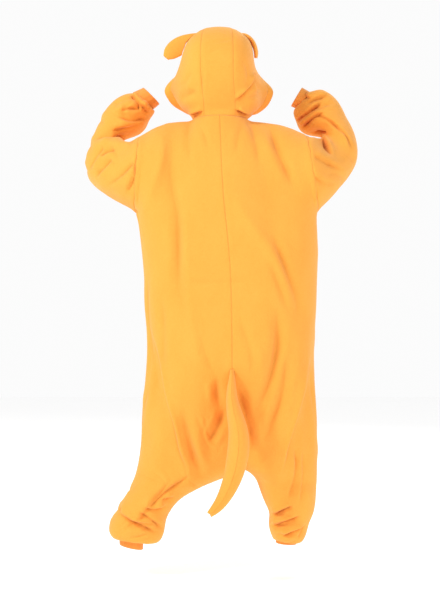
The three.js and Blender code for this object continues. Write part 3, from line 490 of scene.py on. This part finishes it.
# A tuck is a crease whose left side, as its path runs, hangs over the other.
LEG_TUCKS = [
    (9, 7, [(168, -1272), (200, -1256), (232, -1242)]),
    (9, 7, [(166, -1306), (214, -1290), (258, -1272)]),
    (8, 7, [(200, -1340), (232, -1326), (268, -1304)]),
    (6, 7, [(250, -1340), (262, -1320), (270, -1298)]),
    (4, 10, [(218, -1213), (246, -1133), (246, -1053)]),
    (3, 9, [(256, -1230), (268, -1150), (270, -1060)]),
    (6, 9, [(-182, -1222), (-144, -1216)]),
    (7, 9, [(-325, -1262), (-288, -1290), (-238, -1310), (-200, -1330)]),
    (5, 9, [(-296, -1290), (-256, -1296), (-212, -1300)]),
    (5, 8, [(-256, -1262), (-214, -1290), (-180, -1318)]),
    (6, 7, [(-240, -1250), (-200, -1256), (-168, -1240)]),
    (5, 9, [(-300, -1180), (-322, -1230), (-318, -1268)]),
    (4, 11, [(-262, -1290), (-220, -1230), (-150, -1150)]),
    (5, 10, [(-230, -1250), (-170, -1190), (-90, -1140)]),
]
SLEEVE_TUCKS = [
    (11, 7, [(-282, -76), (-330, -62), (-392, -68)]),
    (9, 7, [(-338, -104), (-356, -112), (-380, -124)]),
    (6, 8, [(-346, -134), (-372, -160), (-400, -192)]),
    (5, 8, [(-371, -96), (-398, -130), (-420, -170)]),
    (5, 9, [(-270, -140), (-320, -190), (-370, -220)]),
    (7, 8, [(-282, 77), (-256, 45), (-259, 19)]),
    (7, 7, [(-256, 45), (-242, 30), (-228, 14)]),
    (6, 8, [(-316, 22), (-280, 34), (-256, 24)]),
    (6, 8, [(-240, -4), (-280, -14), (-330, 4)]),
    (5, 9, [(-344, -40), (-300, -34), (-262, -20)]),
    (11, 7, [(340, -48), (310, -52), (280, -63)]),
    (9, 7, [(328, -62), (342, -90), (358, -120)]),
    (9, 7, [(246, -8), (290, 22), (328, 54)]),
    (9, 7, [(264, -30), (298, 4), (332, 16)]),
    (6, 9, [(420, -96), (396, -44), (344, -8)]),
    (6, 8, [(310, 12), (360, -14), (404, -64)]),
    (5, 9, [(300, -120), (350, -150), (400, -170)]),
    (4, 9, [(290, -180), (330, -210), (370, -214)]),
    (5, 9, [(275, -61), (262, -166), (300, -298)]),
    (4, 9, [(-300, -240), (-262, -170), (-250, -102)]),
    (7, 7, [(262, 84), (274, 66), (292, 58)]),
    (6, 8, [(280, 44), (312, 62), (350, 74)]),
]
SLEEVE_RIDGES = [
    (9, 12, [(314, 0), (368, -19), (416, -70), (438, -118)]),
    (6, 11, [(-300, -90), (-360, -84), (-410, -88)]),
    (6, 11, [(-250, 14), (-300, 18), (-352, 34)]),
]
HOOD_TROUGHS = [
    (4, 6, [(86, 64), (131, 77)]),
    (4, 8, [(-128, 62), (-100, 72), (-67, 92)]),
    (2.5, 7, [(-140, 96), (-108, 116), (-88, 150)]),
    (1.6, 3.5, [(-64, 176), (48, 177)]),
    (1.4, 3.5, [(-54, 186), (-16, 224), (48, 234)]),
    (1.4, 3.5, [(-48, 237), (48, 253)]),
    (2.5, 5, [(-60, 60), (-56, 130), (-60, 210)]),
    (2.5, 5, [(70, 190), (92, 150), (80, 90)]),
]
HOOD_TUCKS = [
    (10, 5, [(54, 25), (70, 16), (88, 8), (118, 7)]),
    (9, 5, [(-104, 7), (-84, 12), (-56, 22)]),
    (8, 5, [(50, 54), (80, 82), (104, 108), (110, 150)]),
    (7, 6, [(120, 82), (116, 112), (112, 146)]),
]
# The front and the sides don't show in the photograph. They get like creases, in true places.
FRONT_TROUGHS = [
    (8, 12, [(160, -40), (190, -150), (214, -240)]),
    (8, 12, [(-150, -50), (-180, -160), (-200, -250)]),
    (6, 11, [(-70, -110), (-84, -240), (-60, -380)]),
    (7, 12, [(150, -330), (110, -480), (120, -640)]),
    (7, 12, [(-160, -420), (-130, -560), (-150, -720)]),
    (9, 13, [(190, -620), (170, -780), (110, -920)]),
    (9, 12, [(-150, -700), (-140, -850), (-60, -980)]),
    (10, 11, [(90, -900), (80, -1000), (72, -1080)]),
    (10, 11, [(20, -930), (40, -1010), (60, -1090)]),
    (8, 11, [(-120, -1000), (-60, -1060), (10, -1100)]),
    (8, 12, [(220, -900), (200, -1020), (150, -1090)]),
    (8, 12, [(-180, -900), (-170, -1020), (-200, -1120)]),
    (8, 10, [(140, -1140), (200, -1190), (270, -1200)]),
    (7, 9, [(150, -1250), (210, -1262), (270, -1240)]),
    (7, 9, [(165, -1300), (215, -1310), (262, -1296)]),
    (8, 11, [(-60, -1160), (-150, -1200), (-240, -1240)]),
    (7, 9, [(-180, -1260), (-240, -1290), (-320, -1270)]),
    (7, 9, [(-190, -1310), (-260, -1326), (-330, -1310)]),
    (7, 10, [(-300, -110), (-360, -140), (-410, -180)]),
    (7, 10, [(310, -100), (370, -140), (420, -170)]),
    (6, 9, [(-280, -200), (-330, -230)]),
    (6, 9, [(300, -200), (350, -220)]),
    (7, 9, [(-250, -10), (-310, 0), (-370, -10)]),
    (7, 9, [(270, 0), (330, 20), (390, 10)]),
]
# Seen from the side, with y for x. The right side takes them mirrored and a little lower.
SIDE_TROUGHS = [
    (6, 12, [(-60, -190), (-30, -300), (-50, -430)]),
    (5, 12, [(50, -220), (20, -360), (60, -500)]),
    (6, 13, [(-90, -480), (-40, -620), (-70, -800)]),
    (6, 12, [(80, -600), (30, -740), (60, -900)]),
    (7, 12, [(-70, -860), (-10, -980), (-40, -1100)]),
    (6, 12, [(90, -950), (40, -1060), (70, -1180)]),
    (5, 9, [(-80, -1160), (-10, -1200), (60, -1190)]),
    (6, 9, [(-70, -1236), (0, -1262), (70, -1244)]),
    (6, 9, [(-60, -1300), (10, -1312), (70, -1290)]),
    (5, 10, [(20, -110), (90, -70), (150, -90)]),
    (5, 9, [(40, -180), (110, -146), (170, -160)]),
    (5, 9, [(60, -20), (120, 10), (180, 0)]),
]
RIGHT_SIDE_SHIFT = (70 * MM, 34 * MM)
TABLES = (BACK_TROUGHS, BACK_RIDGES, BACK_STEPS, LEG_TUCKS, SLEEVE_TUCKS, SLEEVE_RIDGES, HOOD_TROUGHS,
          HOOD_TUCKS, FRONT_TROUGHS, SIDE_TROUGHS, SIDE_TROUGHS)
print("creases laid by hand:", sum(map(len, TABLES)))

# %% [markdown]
# The tables are pressed in with array arithmetic over all points at once, which takes seconds where a
# loop over points would take minutes. A point's distance to a path and how far along it the nearest spot
# lies give the depth there.

# %% Press the creases in
rng = np.random.default_rng(7)
# The shares of a path between which a crease swells to its depth, and between which it dies away.
SLOW_FADE = ((-0.03, 0.3), (0.66, 1.03))
CRISP_FADE = ((-0.04, 0.14), (0.7, 1.03))


def smooth_step(value, low, high):
    t = np.clip((value - low) / (high - low), 0, 1)
    return t * t * (3 - 2 * t)


def nearest_on(path, flat):
    """For each flat point: the distance to the path, the share of its length, and the side."""
    path = np.array(path, float) * MM
    lengths = np.hypot(*np.diff(path, axis=0).T)
    best = np.full(len(flat), 9.0)
    share = np.zeros(len(flat))
    side = np.zeros(len(flat))
    run = 0.0
    for a, b, length in zip(path, path[1:], lengths):
        along = (b - a) / length
        t = np.clip((flat - a) @ along, 0, length)
        away = flat - a - t[:, None] * along
        distance = np.hypot(away[:, 0], away[:, 1])
        nearer = distance < best
        best[nearer] = distance[nearer]
        share[nearer] = (run + t[nearer]) / lengths.sum()
        side[nearer] = (away[nearer] @ np.array([-along[1], along[0]]))
        run += length
    return best, share, side


def curved(path):
    """The path rounded off at its corners, by cutting each corner twice."""
    path = np.array(path, float)
    for _ in range(2):
        if len(path) < 3:
            break
        cut = [path[0]]
        for a, b in zip(path, path[1:]):
            cut += [a * 0.75 + b * 0.25, a * 0.25 + b * 0.75]
        path = np.array(cut + [path[-1]])
    return path


def presence(share, kind):
    """How much of a crease is there, from 0 to 1, at each share of its path."""
    swell, die = CRISP_FADE if kind == "tuck" else SLOW_FADE
    return smooth_step(share, *swell) * (1 - smooth_step(share, *die))


def ridge_profile(across):
    """A rounded rise, which catches the light and hides nothing."""
    return np.exp(-across ** 2), np.zeros(len(across))


def tuck_profile(across, side, strength, depth):
    """The left side hangs over the right one, with a slit between them, and shade is painted into the slit.
    """
    lap = np.where(side > 0, 1.0, -0.35) * np.exp(-(across / 2.6) ** 2) * (1 - np.exp(-across * 3.0))
    # Painted shade in the slit between the two layers.
    slit_shade = np.clip(strength * np.exp(-(across * 2.1) ** 2) * (depth / 10) ** 2, 0, 0.9)
    return 1.35 * lap - 1.5 * np.exp(-across * 1.7), slit_shade


def trough_profile(across, side, strength, depth, share, width):
    """A narrow bottom in a wide valley, with shoulders that lean now to one side, now to the other, and
    shade painted along the bottom.
    """
    lean = 0.26 + 0.24 * np.sin(share * 5 + depth) * np.tanh(side / (width * MM))
    valley = 0.6 * np.exp(-across * 1.7) + 0.45 * np.exp(-(across * 0.75) ** 2)
    shoulder = np.exp(-((across - 2.4) / 1.3) ** 2)
    # Painted shade along the bottom of the trough.
    painted_shade = np.clip(1.15 * strength * np.exp(-(across * 1.25) ** 2) * (depth / 10) ** 1.5, 0, 0.85)
    return lean * shoulder - valley, 0.22 * painted_shade


def crease_height(flat, depth, width, path, kind):
    """How far a crease lifts each point, and how much shade is painted into its colour there, from 0 to 1.
    """
    distance, share, side = nearest_on(curved(path), flat)
    wander = 1 + 0.25 * np.sin(share * rng.uniform(7, 12) + rng.uniform(0, 6))
    strength = presence(share, kind) * wander
    across = distance / (width * MM)
    if kind == "ridge":
        lift, painted_shade = ridge_profile(across)
    elif kind == "tuck":
        lift, painted_shade = tuck_profile(across, side, strength, depth)
    else:
        lift, painted_shade = trough_profile(across, side, strength, depth, share, width)
    return depth * MM * strength * lift, painted_shade


def seen_from_camera(at):
    """Where the camera sees each point, on the upright plane through the origin."""
    scale = EYE.y / (EYE.y - at[:, 1])
    return np.stack([at[:, 0] * scale, (at[:, 2] - EYE.z) * scale + EYE.z], axis=1)


def of_panels(prefixes):
    chosen = [i for i, name in enumerate(PANELS) if name.startswith(prefixes)]
    return np.isin(lowest, chosen) & np.isin(highest, chosen)


normal = normals_now()
back_view = seen_from_camera(points)
front_view = points[:, [0, 2]]
height = np.zeros(len(points))
# Shade painted into the colour of the creases, from 0 to 1 for each point.
painted_crease_shade = np.zeros(len(points))


def press(where, view, weight, depth, width, path, kind):
    lifted, painted_shade = crease_height(view[where], depth, width, path, kind)
    height[where] += lifted * weight[where]
    # Where creases meet, the darker painted shade is kept.
    painted_crease_shade[where] = np.maximum(painted_crease_shade[where], painted_shade * weight[where])


back = smooth_step(-normal[:, 1], 0.05, 0.35)
front = smooth_step(normal[:, 1], 0.05, 0.35)
left_side = smooth_step(-normal[:, 0], 0.55, 0.85) * (points[:, 0] < 0)
right_side = smooth_step(normal[:, 0], 0.55, 0.85) * (points[:, 0] > 0)
side_view = points[:, [1, 2]]
right_view = side_view * (-1, 1) + RIGHT_SIDE_SHIFT
body, sleeves, hood = of_panels(("body",)), of_panels(("sleeve",)), of_panels(("hood",))
for table, kind, where, view, weight in (
    (BACK_TROUGHS, "trough", body, back_view, back),
    (BACK_RIDGES, "ridge", body, back_view, back),
    (LEG_TUCKS, "tuck", body, back_view, back),
    (SLEEVE_TUCKS, "tuck", sleeves, back_view, back),
    (SLEEVE_RIDGES, "ridge", sleeves, back_view, back),
    (HOOD_TROUGHS, "trough", hood, back_view, back),
    (HOOD_TUCKS, "tuck", hood, back_view, back),
    (FRONT_TROUGHS, "trough", body | sleeves, front_view, front),
    (SIDE_TROUGHS, "trough", body | sleeves, side_view, left_side),
    (SIDE_TROUGHS, "trough", body | sleeves, right_view, right_side),
):
    for depth, width, path in table:
        press(where, view, weight, depth, width, path, kind)
for depth, width, towards, path in BACK_STEPS:
    _, share, side = nearest_on(curved(path), back_view[body])
    weight = presence(share, "step") * back[body]
    beyond = side * towards / (width * MM)
    sunk = smooth_step(beyond, -0.6, 1.2) * (1 - smooth_step(beyond, 3, 16))
    lip = np.exp(-((beyond + 1.4) / 1.3) ** 2)
    height[body] += (0.35 * lip - sunk) * depth * MM * weight
    # Shade painted just beyond the step, where the cloth hangs over it.
    painted_crease_shade[body] = np.maximum(painted_crease_shade[body], 0.3 * weight * np.exp(-(beyond - 0.9) ** 2))
print("creases: from", round(height.min() / MM, 1), "to", round(height.max() / MM, 1), "mm")

# %% [markdown]
# Where cloth is gathered or bent, at the elbows, the crotch and above the cuffs, many small wrinkles
# lie side by side. They could be listed one by one as well, but their exact places don't matter. So they
# are drawn by chance, with a fixed seed: a zone gives their middle, run and spread.

# %% Small wrinkles
WRINKLE_ZONES = [
    # side, x, z, spread x, spread z, run in degrees, length, depth, how many
    ("back", -300, 40, 40, 22, 40, 60, 2.2, 4),
    ("back", 320, 40, 40, 22, 30, 60, 2.2, 4),
    ("back", -262, -1310, 60, 26, 12, 70, 3.2, 7),
    ("back", 215, -1310, 40, 40, 8, 70, 3.2, 8),
    ("back", -150, -1150, 70, 40, -40, 110, 1.6, 4),
    ("back", 60, -1000, 60, 60, 80, 110, 1.8, 4),
    ("back", -40, -1000, 50, 60, -70, 110, 1.8, 4),
    ("back", 250, -860, 30, 90, 84, 130, 1.8, 4),
    ("back", -190, -760, 26, 110, 88, 130, 1.6, 4),
    ("back", 20, -380, 12, 14, 40, 20, 1.2, 5),
    ("front", -262, -1300, 60, 30, -8, 70, 3.2, 7),
    ("front", 215, -1300, 40, 40, -8, 70, 3.2, 7),
    ("front", 60, -1040, 70, 50, -60, 90, 2.8, 7),
    ("front", -350, -60, 50, 40, -20, 80, 3.0, 7),
    ("front", 360, -60, 50, 40, 20, 80, 3.0, 7),
    ("front", 160, -500, 60, 160, 80, 130, 2.0, 5),
    ("front", -120, -500, 60, 160, -80, 130, 2.0, 5),
]
WRINKLE_MARGIN = 40
for view_name, x, z, spread_x, spread_z, run, length, depth, count in WRINKLE_ZONES:
    view, weight = (back_view, back) if view_name == "back" else (front_view, front)
    for _ in range(count):
        middle = np.array([x + rng.normal() * spread_x * 0.6, z + rng.normal() * spread_z * 0.6])
        turn = math.radians(run + rng.normal() * 14)
        half = length * rng.uniform(0.35, 0.65)
        way = np.array([math.cos(turn), math.sin(turn)]) * half
        bow = np.array([-way[1], way[0]]) * rng.uniform(-0.2, 0.2)
        path = [middle - way, middle + bow, middle + way]
        reach = half + WRINKLE_MARGIN
        near = np.flatnonzero(
            (np.abs(view[:, 0] / MM - middle[0]) < reach) & (np.abs(view[:, 1] / MM - middle[1]) < reach)
            & (body | sleeves) & (weight > 0))
        press(near, view, weight, depth * rng.uniform(0.6, 1.2), rng.uniform(4.5, 7), path, "trough")
print("small wrinkles:", sum(zone[-1] for zone in WRINKLE_ZONES))

# %% [markdown]
# No stretch of worn fleece is flat. Slow waves with random directions lift and sink it by a few
# millimetres, longer along the body than across it. Beside each seam a low swell follows the valley, and
# both are uneven, because the stitches gather the cloth.

# %% Slow waves and seam valleys
WAVE_COUNT = 26
WAVE_HEIGHT = 5.5 * MM
HOOD_WAVES = 0.45
SEAM_DEPTH = 0.7 * MM
SWELL_HEIGHT = 0.5 * MM
FINE_PUCKERS = np.array([310.0, 290.0, 420.0])
BROAD_PUCKERS = np.array([120.0, 90.0, 140.0])

waves = np.zeros(len(points))
for _ in range(WAVE_COUNT):
    length = rng.uniform(0.07, 0.26)
    way = rng.normal(size=3) * (1, 1, 0.4)
    way *= 2 * math.pi / (length * np.linalg.norm(way))
    waves += np.sin(points @ way + rng.uniform(0, 7)) * length
height += waves / np.abs(waves).max() * WAVE_HEIGHT * np.where(hood, HOOD_WAVES, 1)
puckers = 0.8 + 0.35 * np.sin(points @ FINE_PUCKERS) * np.sin(points @ BROAD_PUCKERS)
height -= SEAM_DEPTH * np.exp(-(seam_distance / (4.5 * MM)) ** 2) * puckers
height += SWELL_HEIGHT * np.exp(-((seam_distance - 11 * MM) / (6 * MM)) ** 2) * puckers
points += normal * height[:, None]
print("skin moved by up to", round(np.abs(height).max() / MM, 1), "mm")

# %% [markdown]
# Now the skin is parted into its panels again. Each panel is a thin shell: the Solidify modifier
# gives it the thickness of the cloth, inwards, so the outer side stays where it is.

# %% Part the skin into panels
CLOTH = 2.4 * MM


def shell(name, mesh, material, thickness, offset=-1.0):
    piece = bpy.data.objects.new(name, mesh)
    bpy.context.scene.collection.objects.link(piece)
    mesh.materials.append(material)
    mesh.shade_smooth()
    if thickness:
        wall = piece.modifiers.new("wall", "SOLIDIFY")
        wall.thickness = thickness
        wall.offset = offset
        wall.use_even_offset = False
    return piece


def dress(piece, node):
    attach(piece, "root")
    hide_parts(node)
    return piece


smooth_mesh.vertices.foreach_set("co", points.astype(np.float32).ravel())
# The seam distance and the shade painted into the creases go to the material as attributes.
for name, values in (("seam", seam_distance), ("painted_crease_shade", painted_crease_shade)):
    smooth_mesh.attributes.new(name, "FLOAT", "POINT").data.foreach_set("value", values.astype(np.float32))


def cut_out(name, keeps):
    form = bmesh.new()
    form.from_mesh(smooth_mesh)
    panel = form.faces.layers.int["panel"]
    placket = form.faces.layers.int["placket"]
    bmesh.ops.delete(form, geom=[f for f in form.faces if not keeps(f[panel], f[placket])], context="FACES")
    mesh = bpy.data.meshes.new(name)
    form.to_mesh(mesh)
    form.free()
    return mesh


for number, node in enumerate(PANELS):
    mesh = cut_out(node, lambda panel, placket: panel == number)
    dress(shell(node + "_cloth", mesh, FLEECE, CLOTH), node)
    print(node, len(mesh.polygons), "faces")

# %% [markdown]
# The placket is a strip of doubled fleece sewn over the front opening. A strip of its own would dip
# into the cloth or hover over it, so it is cut from the same skin and lifted off it, and follows every
# crease beneath.

# %% Placket
PLACKET_THICK = 2.6 * MM
PLACKET_LIFT = 0.5 * MM
placket_mesh = cut_out("front_placket", lambda panel, placket: placket == 1)
form = bmesh.new()
form.from_mesh(placket_mesh)
form.normal_update()
lift = [(v, v.normal.copy()) for v in form.verts]
for vertex, way in lift:
    vertex.co += way * PLACKET_LIFT
form.to_mesh(placket_mesh)
form.free()
placket = shell("front_placket_cloth", placket_mesh, FLEECE, PLACKET_THICK, 1.0)
dress(placket, "front_placket")
print("front_placket", len(placket_mesh.polygons), "faces")

# %% [markdown]
# Cuffs are tubes of rib knit. Bump alone would leave their edges smooth, so the ribs are real: the tube
# is finely divided, and each point moves out or in with the number of ribs round the tube.

# %% Ribbed cuffs
RIB_DEPTH = 0.55 * MM
RIB_THICK = 2.6 * MM
RIB_CUTS = 5
KNIT_POINT = 0.6 * MM
RIBS = {"sleeve_cuff_left": 44, "sleeve_cuff_right": 42, "leg_cuff_left": 48, "leg_cuff_right": 44}


def cuff_axis(form):
    """The way a short tube runs: least of all its faces look along it."""
    looks = np.array([f.normal[:] for f in form.faces])
    _, vectors = np.linalg.eigh(looks.T @ looks)
    return Vector(vectors[:, 0])


def ribbed_cuff(node, ribs):
    form = outer_face(node)
    bmesh.ops.subdivide_edges(form, edges=form.edges, cuts=RIB_CUTS, use_grid_fill=True, smooth=0.0)
    bmesh.ops.remove_doubles(form, verts=form.verts, dist=KNIT_POINT)
    form.normal_update()
    middle = sum((v.co for v in form.verts), Vector()) / len(form.verts)
    axis = Vector((0, 0, 1)) if node.startswith("leg") else cuff_axis(form)
    side = axis.orthogonal().normalized()
    other = axis.cross(side)
    for vertex in form.verts:
        turn = math.atan2((vertex.co - middle).dot(other), (vertex.co - middle).dot(side))
        vertex.co += vertex.normal * RIB_DEPTH * math.cos(turn * ribs)
    mesh = bpy.data.meshes.new(node)
    form.to_mesh(mesh)
    form.free()
    return dress(shell(node + "_rib", mesh, RIB, RIB_THICK), node)


for node, ribs in RIBS.items():
    cuff = ribbed_cuff(node, ribs)
    print(node, len(cuff.data.polygons), "faces")

# %% [markdown]
# Ears and tail are stuffed. Cloth with pressure inside would swell them past their slim shape, so their
# halves are rounded by subdivision, with a crease where the halves meet, and a sewn ridge stays between
# them.

# %% Ears and tail
RIDGE_TURN = math.radians(50)
FAR_FROM_SEAMS = 0.05


def keep_straightest(vertex, sharp):
    """Leaves two creased edges at a point, so that the sewn ridge is rounded along its run."""
    creased = [e for e in vertex.link_edges if e[sharp] > 0]
    if len(creased) < 3:
        return
    ways = {e: (e.other_vert(vertex).co - vertex.co).normalized() for e in creased}
    pairs = [(ways[a].dot(ways[b]), a, b) for i, a in enumerate(creased) for b in creased[i + 1:]]
    kept = min(pairs, key=lambda pair: pair[0])[1:]
    for edge in creased:
        if edge not in kept:
            edge[sharp] = 0.0


def stuffed(node):
    form = bmesh.new()
    form.from_mesh(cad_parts[node].data)
    bmesh.ops.remove_doubles(form, verts=form.verts, dist=SAME_POINT)
    bmesh.ops.join_triangles(form, faces=form.faces, angle_face_threshold=0.6, angle_shape_threshold=1.2)
    sharp = form.edges.layers.float.new("crease_edge")
    for edge in form.edges:
        if len(edge.link_faces) == 2 and edge.calc_face_angle(0) > RIDGE_TURN:
            edge[sharp] = 1.0
    for vertex in form.verts:
        keep_straightest(vertex, sharp)
    mesh = bpy.data.meshes.new(node)
    form.to_mesh(mesh)
    form.free()
    piece = bpy.data.objects.new(node + "_stuffed", mesh)
    bpy.context.scene.collection.objects.link(piece)
    mesh.materials.append(FLEECE)
    mesh.shade_smooth()
    rounding = piece.modifiers.new("rounding", "SUBSURF")
    rounding.levels = rounding.render_levels = 3
    # Far from any seam, so no seam shade is painted on them.
    distance = mesh.attributes.new("seam", "FLOAT", "POINT")
    distance.data.foreach_set("value", [FAR_FROM_SEAMS] * len(mesh.vertices))
    dress(piece, node)
    return piece


for node in ("tail_half_left", "tail_half_right"):
    stuffed(node)
for node in ("ear_left_outer", "ear_left_inner", "ear_right_outer", "ear_right_inner"):
    stuffed(node)
print("stuffed pieces: a tail of two halves and two ears of two halves")

# %% [markdown]
# A button is a disc with a raised rim, four dark discs painted as the shade in its holes, and a cross of
# thread. Half of its section is drawn with a few points and spun round, as on a lathe. The button is made
# lying flat and then turned to lie on the placket.

# %% Buttons
BUTTON_RADIUS = 11 * MM
BUTTON_THICK = 4 * MM
HOLE_RADIUS = 1.1 * MM
HOLE_PLACE = 2.4 * MM
THREAD_SIZE = (6.6 * MM, 0.9 * MM, 0.7 * MM, 1)


def of_material(made, index):
    """Gives the faces that an operator made a material of their own."""
    for face in {f for v in made["verts"] for f in v.link_faces}:
        face.material_index = index


def button():
    form = bmesh.new()
    r, t = BUTTON_RADIUS, BUTTON_THICK
    profile = [
        (0.0, 0.0), (r * 0.9, 0.0), (r, t * 0.25), (r, t * 0.72), (r * 0.93, t * 0.96), (r * 0.84, t),
        (r * 0.74, t * 0.9), (r * 0.66, t * 0.74), (0.0, t * 0.7)]
    ring = [form.verts.new((x, 0, z)) for x, z in profile]
    line = [form.edges.new(pair) for pair in zip(ring, ring[1:])]
    bmesh.ops.spin(
        form, geom=ring + line, cent=(0, 0, 0), axis=(0, 0, 1), angle=math.tau, steps=40, use_merge=True)
    bmesh.ops.remove_doubles(form, verts=form.verts, dist=1e-6)
    for x, y in ((1, 1), (-1, 1), (-1, -1), (1, -1)):
        # Painted shade: a thin dark disc lies where each hole would be.
        hole_shade = bmesh.ops.create_cone(
            form, cap_ends=True, segments=12, radius1=HOLE_RADIUS, radius2=HOLE_RADIUS, depth=0.2 * MM,
            matrix=Matrix.Translation((x * HOLE_PLACE, y * HOLE_PLACE, t * 0.7)))
        of_material(hole_shade, 1)
    for turn in (45, -45):
        lying = Matrix.Rotation(math.radians(turn), 4, "Z") @ Matrix.Diagonal(THREAD_SIZE)
        thread = bmesh.ops.create_cube(form, size=1, matrix=Matrix.Translation((0, 0, t * 0.76)) @ lying)
        of_material(thread, 2)
    bmesh.ops.recalc_face_normals(form, faces=form.faces)
    return form


def stand_on(form, node):
    """Turns a form that was made flat so that it lies on the placket, where the CAD button is."""
    low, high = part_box(node)
    centre = (low + high) / 2
    nearest = min(placket_mesh.vertices, key=lambda v: (v.co - centre).length)
    way = nearest.normal.normalized()
    foot = centre + way * ((nearest.co - centre).dot(way) + PLACKET_THICK)
    turn = way.to_track_quat("Z", "Y").to_matrix().to_4x4()
    bmesh.ops.transform(form, matrix=turn, verts=form.verts)
    bmesh.ops.translate(form, verts=form.verts, vec=foot)


for number in range(1, 6):
    node = f"button_{number}"
    form = button()
    stand_on(form, node)
    mesh = bpy.data.meshes.new(node)
    form.to_mesh(mesh)
    form.free()
    piece = shell(node + "_disc", mesh, BUTTON, 0)
    # Painted shade for the holes, as material 1.
    mesh.materials.append(HOLE_SHADE)
    mesh.materials.append(THREAD)
    dress(piece, node)
    print(node, len(mesh.polygons), "faces")

# %% [markdown]
# The working skin and its smoothed copy are no longer needed, so they are freed.

# %% Finish
skin.free()
bpy.data.meshes.remove(smooth_mesh)
